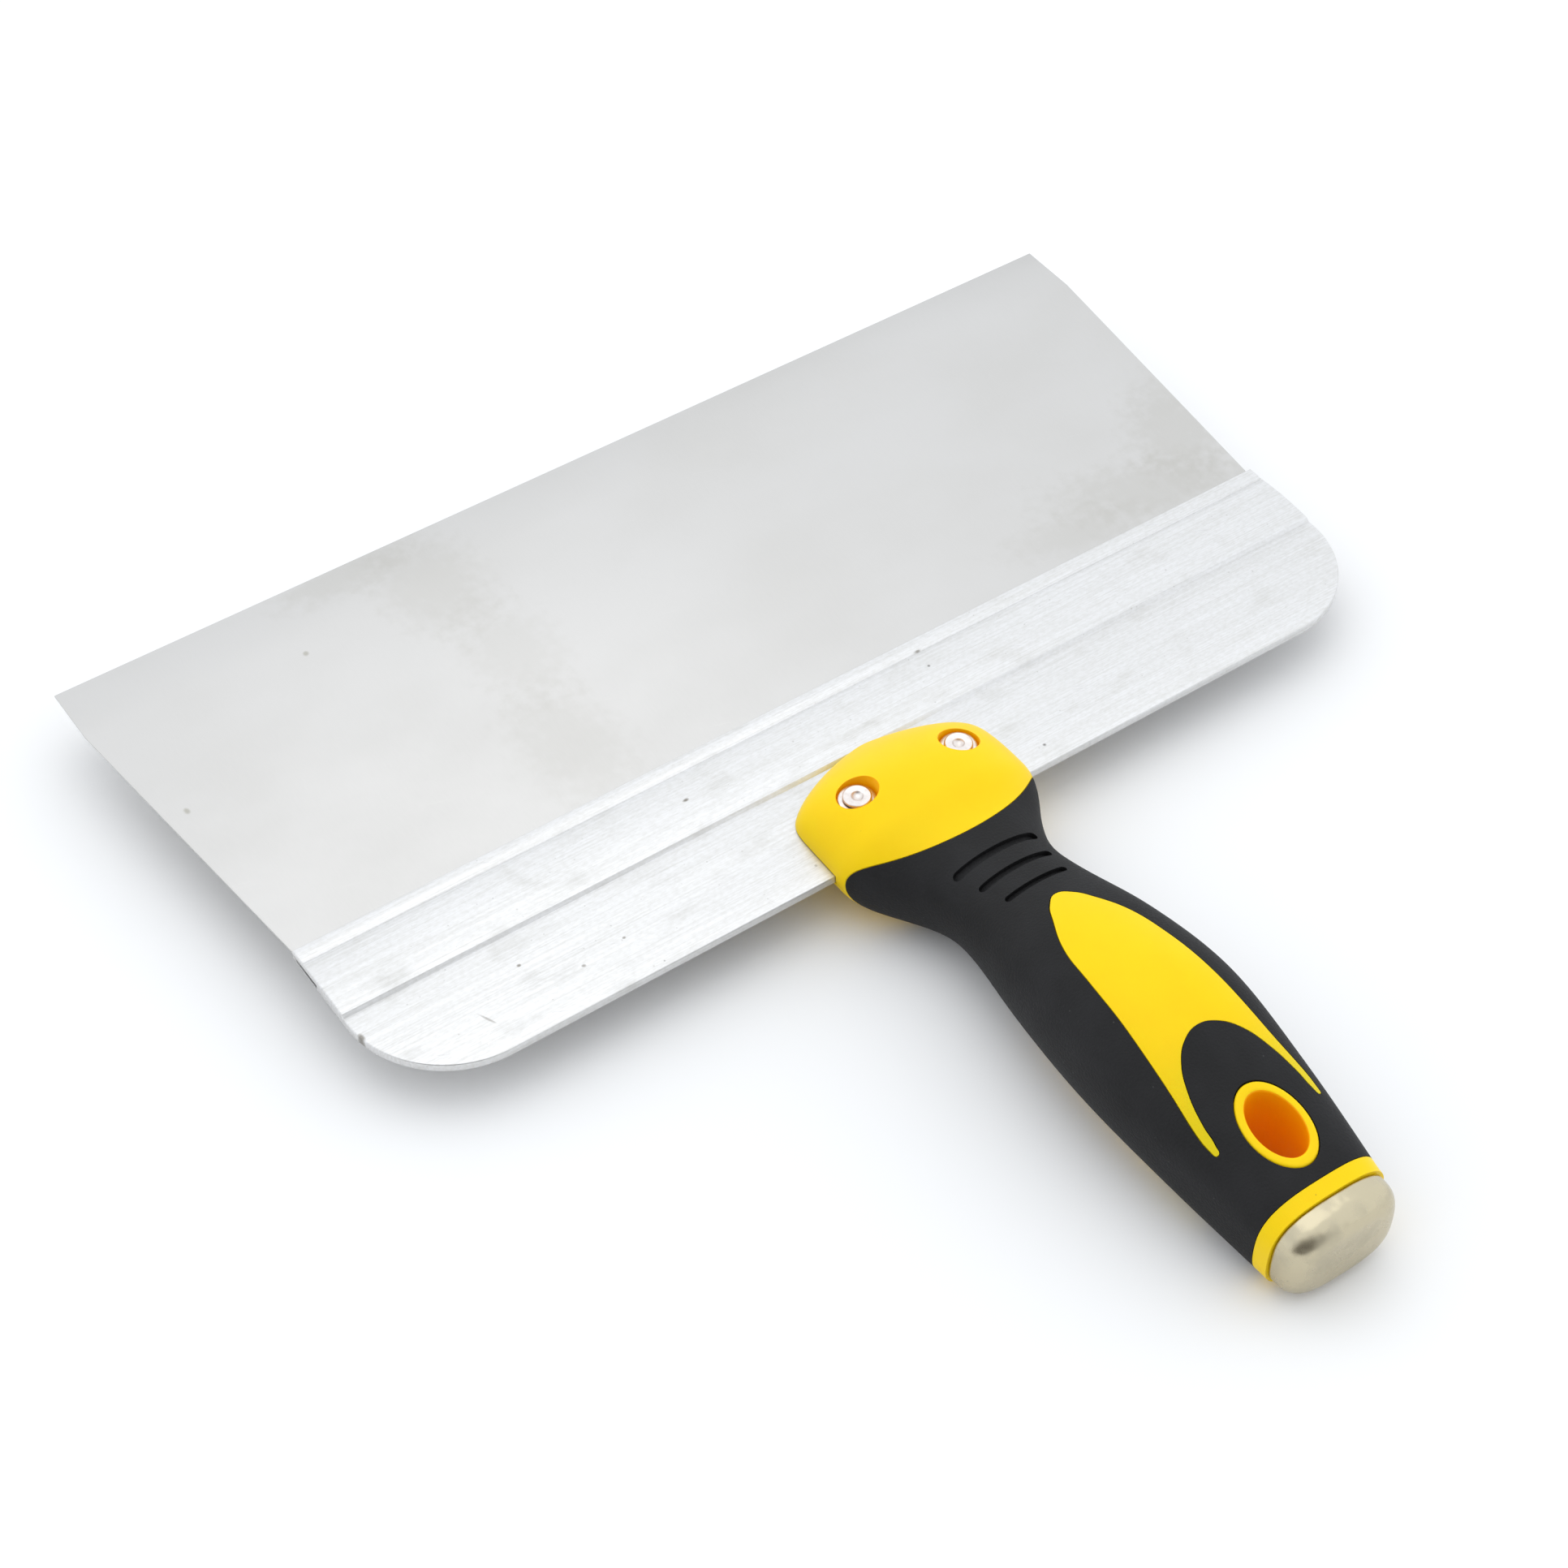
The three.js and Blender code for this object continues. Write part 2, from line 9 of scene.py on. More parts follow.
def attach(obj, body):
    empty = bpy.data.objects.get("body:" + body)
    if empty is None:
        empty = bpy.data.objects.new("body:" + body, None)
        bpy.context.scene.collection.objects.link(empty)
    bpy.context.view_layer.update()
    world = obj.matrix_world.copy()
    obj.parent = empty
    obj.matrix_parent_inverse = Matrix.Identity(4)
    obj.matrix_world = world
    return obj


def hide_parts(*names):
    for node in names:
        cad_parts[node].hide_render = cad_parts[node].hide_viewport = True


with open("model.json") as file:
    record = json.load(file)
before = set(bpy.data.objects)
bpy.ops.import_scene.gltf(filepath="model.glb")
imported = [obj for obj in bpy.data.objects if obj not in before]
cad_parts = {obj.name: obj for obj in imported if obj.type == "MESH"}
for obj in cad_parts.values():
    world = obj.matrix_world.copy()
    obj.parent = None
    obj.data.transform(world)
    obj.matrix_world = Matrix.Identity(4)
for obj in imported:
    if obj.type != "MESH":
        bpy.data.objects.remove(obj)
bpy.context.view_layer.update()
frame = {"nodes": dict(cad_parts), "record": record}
mm = 0.001
print("frame loaded:", len(frame["nodes"]), "nodes")

# The knife is modelled in its own axes: X across the blade, Y towards the working edge, y = 0 at the
# backing's lip and z = 0 on the blade's upper face. Lengths in the dictionaries are millimetres.
fitGap = 0.25  # clearance between pieces that touch
seamGap = 0.14  # fine dark line round the inlay and the hang ring
reachAll = 60.0  # taller and wider than the handle
onRow = 1e-5  # metres: a vertex this close to a row belongs to it

edgeMount = next(m for m in frame["record"]["mounts"] if m["name"] == "working_edge")
tilt = math.atan2(edgeMount["axis"][2], edgeMount["axis"][1])


# Helpers that build and change meshes in edit mode.


def deselectAll():
    if bpy.context.object and bpy.context.object.mode != "OBJECT":
        bpy.ops.object.mode_set(mode="OBJECT")
    bpy.ops.object.select_all(action="DESELECT")


def focus(piece):
    deselectAll()
    piece.select_set(True)
    bpy.context.view_layer.objects.active = piece


def finishPrimitive(name):
    # names the primitive just added and puts its place into its mesh
    piece = bpy.context.object
    piece.name = name
    piece.data.name = name
    bpy.ops.object.transform_apply(location=True, rotation=True, scale=True)
    return piece


def openForEdit(piece):
    focus(piece)
    bpy.ops.object.mode_set(mode="EDIT")
    bpy.ops.mesh.select_mode(type="VERT")


def pick(piece, kind, rule):
    # selects the vertices, edges or faces that the rule accepts, and nothing else
    bpy.ops.mesh.select_mode(type=kind)
    bpy.ops.mesh.select_all(action="DESELECT")
    shape = bmesh.from_edit_mesh(piece.data)
    for part in {"VERT": shape.verts, "EDGE": shape.edges, "FACE": shape.faces}[kind]:
        if rule(part):
            part.select_set(True)
    shape.select_flush_mode()
    bmesh.update_edit_mesh(piece.data)


def riseOf(edge):
    first, second = (v.co for v in edge.verts)
    return abs(first.z - second.z)


def cutAcross(piece, place, normal=(0, 1, 0), **options):
    bpy.ops.mesh.select_all(action="SELECT")
    bpy.ops.mesh.bisect(plane_co=place, plane_no=normal, **options)


def applyModifier(piece, kind, **settings):
    focus(piece)
    modifier = piece.modifiers.new(kind.title(), kind)
    for key, value in settings.items():
        setattr(modifier, key, value)
    bpy.ops.object.modifier_apply(modifier=modifier.name)


def combine(piece, tool, operation="DIFFERENCE", keepTool=False):
    applyModifier(piece, "BOOLEAN", operation=operation, object=tool, solver="EXACT")
    if not keepTool:
        bpy.data.objects.remove(tool)


def copyOf(piece, name):
    focus(piece)
    bpy.ops.object.duplicate()
    made = bpy.context.object
    made.name = name
    made.data.name = name
    return made


def box(name, low, high):
    deselectAll()
    middle = [(a + b) / 2 * mm for a, b in zip(low, high)]
    size = [(b - a) * mm for a, b in zip(low, high)]
    bpy.ops.mesh.primitive_cube_add(size=1, location=middle, scale=size)
    return finishPrimitive(name)


def upright(name, halfWidth, halfLength, x, y, low, high, sides=96):
    # a round or oval post
    deselectAll()
    bpy.ops.mesh.primitive_cylinder_add(
        vertices=sides,
        radius=1,
        depth=1,
        location=(x * mm, y * mm, (low + high) / 2 * mm),
        scale=(halfWidth * mm, halfLength * mm, (high - low) * mm),
    )
    return finishPrimitive(name)


def rivetPost(name, x, radius, low, high, sides):
    return upright(name, radius, radius, x, -rivets["fromLip"], low, high, sides)


def turned(name, profile, x, y, steps=56, mergeDistance=2e-6):
    # a half profile of (radius, height) corners, extruded corner by corner and spun about its axis
    deselectAll()
    startRadius, startHeight = profile[0]
    bpy.ops.mesh.primitive_plane_add(size=mm, location=(startRadius * mm, 0, startHeight * mm))
    piece = finishPrimitive(name)
    openForEdit(piece)
    bpy.ops.mesh.select_all(action="SELECT")
    bpy.ops.mesh.merge(type="CENTER")
    for before, after in zip(profile, profile[1:]):
        move = ((after[0] - before[0]) * mm, 0, (after[1] - before[1]) * mm)
        bpy.ops.mesh.extrude_region_move(TRANSFORM_OT_translate={"value": move})
    bpy.ops.mesh.select_all(action="SELECT")
    bpy.ops.mesh.spin(steps=steps, angle=2 * math.pi, center=(0, 0, 0), axis=(0, 0, 1))
    bpy.ops.mesh.select_all(action="SELECT")
    bpy.ops.mesh.remove_doubles(threshold=mergeDistance)
    bpy.ops.mesh.normals_make_consistent(inside=False)
    bpy.ops.transform.translate(value=(x * mm, y * mm, 0))
    bpy.ops.object.mode_set(mode="OBJECT")
    return piece


# The blade: a thin sheet with clipped front corners.
blade = {
    "width": 254.0,
    "widthAtLip": 236.6,
    "reach": 86.9,
    "thickness": 0.5,
    "clipAlong": 14.0,
    "clipAcross": 1.5,
    "edgeRounding": 0.07,
    "edgeSegments": 2,
    "sharpAngle": 50.0,
    # stains: x, y, length, width, turn in degrees, strength
    "marks": [
        (-46, 72, 16, 24, 0, 0.16),
        (-42, 45, 14, 22, 0, 0.13),
        (-46, 16, 15, 26, 0, 0.13),
        (-60, 84, 22, 8, 0, 0.20),
        (100, 8, 34, 13, 20, 0.22),
        (114, 20, 15, 24, 30, 0.22),
        (76, 7, 24, 8, 10, 0.14),
        (-77.5, 68.4, 0.9, 0.9, 0, 0.7),
        (-118, 43.8, 0.8, 1.2, 0, 0.7),
    ],
}
bladeMiddle = -blade["thickness"] / 2

# how the finished knife lies: tipped, and moved until its working edge is at the record's mount
edgePoint = Vector((0, blade["reach"] * mm, bladeMiddle * mm))
tipped = Matrix.Rotation(tilt, 4, "X")
restPlace = Matrix.Translation(Vector(edgeMount["pos_m"]) - tipped @ edgePoint) @ tipped


def makeBlade():
    halfWidth = blade["width"] / 2
    rear = -backing["slotDepth"] + fitGap
    clipStart = blade["reach"] - blade["clipAlong"]
    flare = (blade["width"] - blade["widthAtLip"]) / 2 / blade["reach"]
    rearHalfWidth = blade["widthAtLip"] / 2 + flare * rear
    low, high = (-halfWidth, rear, -blade["thickness"]), (halfWidth, blade["reach"], 0)
    piece = box("bladeSheet", low, high)
    openForEdit(piece)
    pick(piece, "VERT", lambda v: v.co.y < 0)
    bpy.ops.transform.resize(value=(rearHalfWidth / halfWidth, 1, 1))
    cutAcross(piece, (0, clipStart * mm, 0))
    corners = (clipStart + blade["clipAlong"] / 2) * mm
    pick(piece, "VERT", lambda v: v.co.y > corners)
    bpy.ops.transform.resize(value=(1 - blade["clipAcross"] / halfWidth, 1, 1))
    bpy.ops.object.mode_set(mode="OBJECT")
    applyModifier(
        piece,
        "BEVEL",
        width=blade["edgeRounding"] * mm,
        segments=blade["edgeSegments"],
        angle_limit=math.radians(blade["sharpAngle"]),
    )
    return piece


# The backing: a slotted bar with a lip, a crease, a crowned pocket and a step down to a flat plate.
backing = {
    "length": 237.4,
    "depth": 43.0,
    "cornerRadius": 22.5,
    "cornerSegments": 28,
    "thickness": 2.0,
    "lipThickness": 2.6,
    "slotDepth": 9.2,
    "crownHeight": 0.4,
    "crownRows": 9,
    "step": 18.7,
    "stepSlope": 0.75,
    "stepGroove": 0.03,
    "stepGrooveWidth": 0.15,
    "crease": 3.6,
    "creaseWidth": 0.5,
    "creaseDepth": 0.15,
    "edgeRounding": 0.28,
    "edgeSegments": 3,
    # dark specks and nicks: x, y, length, width, turn in degrees, strength
    "marks": [
        (-85, -27, 0.6, 0.5, 0, 0.8),
        (-75, -34, 0.7, 0.5, 20, 0.7),
        (-65, -32.6, 0.5, 0.4, 0, 0.7),
        (-36.4, -10.9, 0.9, 0.5, 0, 0.9),
        (25.8, -3.6, 1.2, 0.5, 0, 0.8),
        (-96.6, -34.4, 3.2, 0.35, 65, 0.5),
        (-118, -25, 0.8, 1.4, 0, 0.8),
    ],
}
backingUnderside = bladeMiddle - backing["thickness"] / 2
plateTop = bladeMiddle + backing["thickness"] / 2
lipTop = backingUnderside + backing["lipThickness"]


def crownAt(y):
    # how far the pocket's upper face stands over the lip
    front = -backing["crease"] - backing["creaseWidth"]
    share = (front - y) / (front + backing["step"])
    if not 0 <= share <= 1:
        return 0
    return backing["crownHeight"] * 4 * share * (1 - share)


def backingRows():
    front = -backing["crease"] - backing["creaseWidth"]
    crease = [-backing["crease"], -backing["crease"] - backing["creaseWidth"] / 2, front]
    span = backing["step"] + front
    crown = [front - span * (i + 1) / backing["crownRows"] for i in range(backing["crownRows"])]
    foot = -backing["step"] - backing["stepSlope"]
    step = [foot - backing["stepGrooveWidth"] * i for i in range(3)]
    return crease + crown + step


def makeBacking():
    half = backing["length"] / 2
    depth = backing["depth"]
    piece = box("backingBar", (-half, -depth, backingUnderside), (half, 0, lipTop))
    openForEdit(piece)
    flat = 0.1 * mm
    pick(piece, "EDGE", lambda e: riseOf(e) > flat and e.verts[0].co.y < -depth / 2 * mm)
    bpy.ops.mesh.bevel(
        offset=backing["cornerRadius"] * mm, segments=backing["cornerSegments"], affect="EDGES"
    )
    pick(piece, "EDGE", lambda e: riseOf(e) < flat)
    bpy.ops.mesh.bevel(
        offset=backing["edgeRounding"] * mm, segments=backing["edgeSegments"], affect="EDGES"
    )
    for y in backingRows():
        cutAcross(piece, (0, y * mm, 0))

    bladeLevel = bladeMiddle * mm
    pastStep = 0.05
    behindStep = (-backing["step"] - pastStep) * mm
    pick(piece, "VERT", lambda v: v.co.z > bladeLevel and v.co.y < behindStep)
    bpy.ops.transform.translate(value=(0, 0, (plateTop - lipTop) * mm))
    grooveY = (-backing["step"] - backing["stepSlope"] - backing["stepGrooveWidth"]) * mm
    pick(piece, "VERT", lambda v: v.co.z > bladeLevel and behindStep > v.co.y > grooveY - onRow)
    bpy.ops.transform.translate(value=(0, 0, -backing["stepGroove"] * mm))
    creaseY = (-backing["crease"] - backing["creaseWidth"] / 2) * mm
    pick(piece, "VERT", lambda v: v.co.z > bladeLevel and abs(v.co.y - creaseY) < onRow)
    bpy.ops.transform.translate(value=(0, 0, -backing["creaseDepth"] * mm))
    leastRise = 0.001
    for y in backingRows():
        rise = crownAt(y)
        if rise > leastRise:
            pick(piece, "VERT", lambda v: v.co.z > bladeLevel and abs(v.co.y - y * mm) < onRow)
            bpy.ops.transform.translate(value=(0, 0, rise * mm))
    bpy.ops.object.mode_set(mode="OBJECT")

    slotHalf = blade["thickness"] / 2 + fitGap
    past = 5
    slot = box(
        "slotTool",
        (-half - past, -backing["slotDepth"], bladeMiddle - slotHalf),
        (half + past, past, bladeMiddle + slotHalf),
    )
    combine(piece, slot)
    for x in rivetPlaces:
        combine(piece, rivetPost("boreTool", x, rivetBore, -reachAll, reachAll, rivets["boreSides"]))
    return piece


# The handle's pieces share one body, so their sizes stand together.
head = {
    "front": 19.7,
    "halfWidth": 23.0,
    "frontRadius": 36.0,
    "shoulderRadius": 6.0,
    "wall": 3.4,
    "top": 13.4,
    "rise": 22.0,
    "underside": 11.9,
    "undersideRise": 10.3,
    "riseSharpness": 2.2,
    "rings": 15,
    "ringEase": 1.6,  # packs the rings towards the front
    "frontFacet": 0.1,
}
grip = {
    "start": 46.0,
    "length": 109.8,
    "wall": 2.6,
    "seamRadius": 32.1,
    "seamReach": 9.7,
    "seamSides": 160,
    "barAhead": 6.0,  # how far the bar inside the sleeve runs into the head
    "barBehind": 2.0,  # and into the collar
    "grooveStart": 17.0,
    "groovePitch": 6.1,
    "grooveHalfLengths": (9.9, 8.5, 7.2),
    "grooveWidths": (2.1, 1.8, 1.6),
    "grooveDepth": 1.1,
    "grooveEndSegments": 6,
    "rings": 27,
    "innerRings": 20,
    "sides": 24,
}
butt = {
    "collarLength": 3.3,
    "capLength": 6.6,
    "capGap": 0.06,
    "capInset": 0.5,
    "capWall": 2.2,
    "capFace": 4.2,
    "capRounding": 4.6,
    "capRings": 7,
    "capCrispness": 0.06,  # how close two rings stand to keep the cap's front edge crisp
    "leastRounding": 1.0,
    "tenonOverlap": 1.0,
}
hangHole = {
    "fromCollar": 12.1,
    "halfWidth": 4.75,
    "halfLength": 6.9,
    "rimWidth": 1.8,
    "rimExtraLength": 0.5,
    "rimProud": 0.15,
    "rimRounding": 0.5,
    "rimDepth": 5.0,
    "rimSteps": 72,
}
rivets = {
    "spacing": 24.6,
    "fromLip": 35.0,
    "shankRadius": 2.0,
    "washerRadius": 3.85,
    "washerThickness": 0.8,
    "recessRadius": 4.2,
    "recessFloor": 8.1,
    "headThickness": 1.1,
    "rollRadius": 2.9,
    "rollHeight": 0.7,
    "dimpleRadius": 1.1,
    "dimpleDepth": 0.8,
    # outlines: how far in from the radius and how far below the top, or over the bottom for the dome
    "dome": [(1.925, 0.05), (0.77, 0.25), (0.1, 0.6), (0, 0.8)],
    "roll": [(0.1, 0.7), (0, 0.58), (0, 0.3), (0.1, 0.12), (0.3, 0)],
    "dimple": [(-0.45, 0.03), (-0.15, 0.14), (0, 0.35), (0.22, 0.6), (0.66, 0.75)],
    "edge": 0.1,
    "washerRounding": 0.25,
    "washerSeat": 0.6,
    "boreSides": 48,
    "recessSides": 64,
}

# Sections of the grip from its front (t 0) to the collar's rear end (t 1).
gripStations = [
    {"t": 0, "halfWidth": head["halfWidth"], "over": head["top"], "under": 11.2, "power": 2.4},
    {"t": 0.03, "halfWidth": 21.8, "over": 12.5, "under": 11.04, "power": 2.37},
    {"t": 0.07, "halfWidth": 18.6, "over": 11.7, "under": 10.7, "power": 2.32},
    {"t": 0.16, "halfWidth": 13.6, "over": 13.0, "under": 8.8, "power": 2.21},
    {"t": 0.24, "halfWidth": 13.7, "over": 14.9, "under": 6.9, "power": 2.24},
    {"t": 0.4, "halfWidth": 16.7, "over": 19.7, "under": 6.5, "power": 2.35},
    {"t": 0.58, "halfWidth": 18.2, "over": 21.9, "under": 6.3, "power": 2.52},
    {"t": 0.78, "halfWidth": 16.7, "over": 17.7, "under": 6.1, "power": 2.76},
    {"t": 1, "halfWidth": 13.2, "over": 13.1, "under": 7.6, "power": 3.3},
]

# Half outline of the inlay as (share of its length, half width): down the leg and back up the notch.
inlay = {
    "start": 34.6,
    "end": 13.5,
    "outer": [(0.03, 2.9), (0.09, 5.1), (0.2, 8.1), (0.34, 9.6), (0.54, 10.8), (0.75, 11.7)],
    "legSide": (0.975, 12.5),
    "legEnd": (1.0, 11.8),
    "inner": [(0.975, 11.1), (0.91, 10.7), (0.81, 9.3), (0.73, 7.0), (0.68, 3.8)],
    "notch": 0.66,
    "curveSteps": 6,
}

collarStart = grip["start"] + grip["length"]
collarEnd = collarStart + butt["collarLength"]
capEnd = collarEnd + butt["capLength"]
seamCentre = grip["start"] + grip["seamReach"] - grip["seamRadius"]
hangHoleY = -(collarStart - hangHole["fromCollar"])
rimHalfWidth = hangHole["halfWidth"] + hangHole["rimWidth"]
rimHalfLength = hangHole["halfLength"] + hangHole["rimWidth"] + hangHole["rimExtraLength"]
barStart = grip["start"] - grip["barAhead"]
barEnd = collarStart + grip["barBehind"]
rivetPlaces = (-rivets["spacing"] / 2, rivets["spacing"] / 2)
rivetBore = rivets["shankRadius"] + fitGap


def headHalfWidthAt(distance):
    # a shallow front arc, round shoulders and straight sides
    fromArcCentre = head["front"] + head["frontRadius"] - distance
    shoulderX = head["halfWidth"] - head["shoulderRadius"]
    reach = head["frontRadius"] - head["shoulderRadius"]
    shoulderY = math.sqrt(reach**2 - shoulderX**2)
    if fromArcCentre >= shoulderY * head["frontRadius"] / reach:
        return math.sqrt(head["frontRadius"] ** 2 - fromArcCentre**2)
    if fromArcCentre >= shoulderY:
        return shoulderX + math.sqrt(head["shoulderRadius"] ** 2 - (fromArcCentre - shoulderY) ** 2)
    return head["halfWidth"]


def climb(distance, length):
    share = min(max((distance - head["front"]) / length, 0), 1)
    return 1 - (1 - share) ** head["riseSharpness"]


def smoothAt(key, t):
    # a smooth curve through the grip's stations
    last = len(gripStations) - 1
    i = 0
    while i < last - 1 and t > gripStations[i + 1]["t"]:
        i += 1

    def slopeAt(k):
        before = gripStations[max(k - 1, 0)]
        after = gripStations[min(k + 1, last)]
        return (after[key] - before[key]) / (after["t"] - before["t"])

    near, far = gripStations[i], gripStations[i + 1]
    span = far["t"] - near["t"]
    u = min(max((t - near["t"]) / span, 0), 1)
    blend = u * u * (3 - 2 * u)
    leaving = span * slopeAt(i) * u * (1 - u) ** 2
    arriving = span * slopeAt(i + 1) * u * u * (1 - u)
    return near[key] * (1 - blend) + far[key] * blend + leaving - arriving


def sectionAt(distance):
    if distance < grip["start"]:
        settled = head["front"] + head["undersideRise"]
        back = max(distance - settled, 0) / (grip["start"] - settled)
        wall = head["wall"]
        under = wall + (head["underside"] - wall) * climb(distance, head["undersideRise"])
        return {
            "halfWidth": headHalfWidthAt(distance),
            "over": wall + (head["top"] - wall) * climb(distance, head["rise"]),
            "under": under + (gripStations[0]["under"] - head["underside"]) * back,
            "power": gripStations[0]["power"],
        }
    t = (distance - grip["start"]) / (collarEnd - grip["start"])
    return {key: smoothAt(key, t) for key in ("halfWidth", "over", "under", "power")}


def ringTube(name, rings, subdivisions=2):
    # A round disc is extruded from ring to ring, and each ring is then pressed into its own section.
    # rings holds (distance behind the lip, section, how far the section is drawn in).
    sides = grip["sides"]
    swell = 1 / (2 / 3 + math.cos(2 * math.pi / sides) / 3)  # makes up for the subdivision's shrinking
    deselectAll()
    bpy.ops.mesh.primitive_circle_add(
        vertices=sides,
        radius=1,
        fill_type="NGON",
        location=(0, -rings[0][0] * mm, 0),
        rotation=(math.pi / 2, 0, 0),
    )
    piece = finishPrimitive(name)
    openForEdit(piece)
    bpy.ops.mesh.select_all(action="SELECT")
    for before, after in zip(rings, rings[1:]):
        move = (0, (before[0] - after[0]) * mm, 0)
        bpy.ops.mesh.extrude_region_move(TRANSFORM_OT_translate={"value": move})
    sameWidth = 1e-4
    for distance, section, drawnIn in rings:
        centre = (0, -distance * mm, 0)
        power = section["power"]
        for step in range(1, sides // 4):
            across = math.cos(2 * math.pi * step / sides)
            upward = math.sin(2 * math.pi * step / sides)
            reach = (across**power + upward**power) ** (-1 / power)
            pick(
                piece,
                "VERT",
                lambda v: abs(v.co.y - centre[1]) < onRow and abs(abs(v.co.x) - across) < sameWidth,
            )
            bpy.ops.transform.resize(value=(reach, 1, reach), center_override=centre)
        halfHeight = (section["over"] + section["under"]) / 2 - drawnIn
        halfWidth = section["halfWidth"] - drawnIn
        middle = (section["over"] - section["under"]) / 2
        pick(piece, "VERT", lambda v: abs(v.co.y - centre[1]) < onRow)
        bpy.ops.transform.resize(
            value=(halfWidth * swell * mm, 1, halfHeight * swell * mm), center_override=centre
        )
        bpy.ops.transform.translate(value=(0, 0, middle * mm))
    bpy.ops.mesh.select_all(action="SELECT")
    bpy.ops.mesh.normals_make_consistent(inside=False)
    bpy.ops.object.mode_set(mode="OBJECT")
    applyModifier(piece, "SUBSURF", levels=subdivisions, render_levels=subdivisions)
    return piece


def spread(start, end, count, ease=1.0):
    return [start + (end - start) * (i / count) ** ease for i in range(count + 1)]


def handleBody():
    front = head["front"] + head["frontFacet"]
    headRings = spread(front, grip["start"], head["rings"], head["ringEase"])[:-1]
    gripRings = spread(grip["start"], collarEnd, grip["rings"])
    cutOff = [collarEnd + past for past in (2, 4)]
    rings = [(d, sectionAt(d), 0) for d in headRings + gripRings + cutOff]
    piece = ringTube("handleBody", rings)
    openForEdit(piece)
    cutAcross(piece, (0, -collarEnd * mm, 0), clear_inner=True, use_fill=True)
    bpy.ops.object.mode_set(mode="OBJECT")
    return piece


def insideTube(name, drawnIn, start, end):
    distances = spread(start, end, grip["innerRings"])
    return ringTube(name, [(d, sectionAt(d), drawnIn) for d in distances])


def gripZone(margin):
    # everything between the head's curved seam and the collar
    zone = box(
        "gripZoneTool",
        (-reachAll, -collarStart - margin, -reachAll),
        (reachAll, -seamCentre, reachAll),
    )
    radius = grip["seamRadius"] - margin
    tall = 2 * reachAll
    combine(zone, upright("seamTool", radius, radius, 0, -seamCentre, -tall, tall, grip["seamSides"]))
    return zone


def inlayTool(margin, mergeDistance=1e-6):
    # The outline is a closed curve, filled and raised. A margin draws every edge in.
    start = grip["start"] + inlay["start"] + margin
    end = collarStart - inlay["end"] - margin

    def place(share, x):
        return (x * mm, -(start + (end - start) * share) * mm, 0)

    right = [place(share, x - margin) for share, x in inlay["outer"] + [inlay["legSide"]]]
    right.append(place(*inlay["legEnd"]))
    right += [place(share, x + margin) for share, x in inlay["inner"]]
    left = [(-x, y, z) for x, y, z in reversed(right)]
    points = [place(0, 0)] + right + [place(inlay["notch"], 0)] + left
    deselectAll()
    bpy.ops.curve.primitive_bezier_curve_add(location=(0, 0, 0))
    outline = bpy.context.object
    outline.name = "inlayTool"
    bpy.ops.object.mode_set(mode="EDIT")
    bpy.ops.curve.select_all(action="SELECT")
    bpy.ops.curve.delete(type="VERT")
    for point in points:
        bpy.ops.curve.vertex_add(location=point)
    bpy.ops.curve.select_all(action="SELECT")
    bpy.ops.curve.handle_type_set(type="AUTOMATIC")
    bpy.ops.curve.cyclic_toggle()
    bpy.ops.object.mode_set(mode="OBJECT")
    outline.data.dimensions = "2D"
    outline.data.fill_mode = "BOTH"
    outline.data.resolution_u = inlay["curveSteps"]
    outline.data.extrude = reachAll * mm
    bpy.ops.object.convert(target="MESH")
    bpy.ops.object.mode_set(mode="EDIT")
    bpy.ops.mesh.select_all(action="SELECT")
    bpy.ops.mesh.remove_doubles(threshold=mergeDistance)
    bpy.ops.mesh.normals_make_consistent(inside=False)
    bpy.ops.object.mode_set(mode="OBJECT")
    return outline


def grooveTool(index):
    # a bar with round ends that reaches down to the groove's floor
    distance = grip["start"] + grip["grooveStart"] + grip["groovePitch"] * index
    halfLength = grip["grooveHalfLengths"][index]
    halfWidth = grip["grooveWidths"][index] / 2
    tool = box(
        "grooveTool",
        (-halfLength, -distance - halfWidth, 0),
        (halfLength, -distance + halfWidth, reachAll),
    )
    openForEdit(tool)
    pick(tool, "EDGE", lambda e: riseOf(e) > mm)
    roundShare = 0.98
    bpy.ops.mesh.bevel(
        offset=halfWidth * mm * roundShare, segments=grip["grooveEndSegments"], affect="EDGES"
    )
    bpy.ops.object.mode_set(mode="OBJECT")
    return tool


def makeSoftGrip(body):
    piece = copyOf(body, "gripSleeve")
    combine(piece, gripZone(0), "INTERSECT")
    combine(piece, insideTube("innerTool", grip["wall"], barStart, barEnd))
    combine(piece, inlayTool(0))
    combine(piece, upright("rimTool", rimHalfWidth, rimHalfLength, 0, hangHoleY, -reachAll, reachAll))
    floor = insideTube("grooveFloorTool", grip["grooveDepth"], grip["start"], collarStart)
    for index in range(len(grip["grooveHalfLengths"])):
        tool = grooveTool(index)
        combine(tool, floor, keepTool=True)
        combine(piece, tool)
    bpy.data.objects.remove(floor)
    return piece


def surfaceAt(x, y, side):
    # height of the handle's upper (side 1) or lower (side -1) surface
    section = sectionAt(-y)
    halfHeight = (section["over"] + section["under"]) / 2
    share = min(abs(x) / section["halfWidth"], 1)
    arch = (1 - share ** section["power"]) ** (1 / section["power"])
    return (section["over"] - section["under"]) / 2 + side * halfHeight * arch


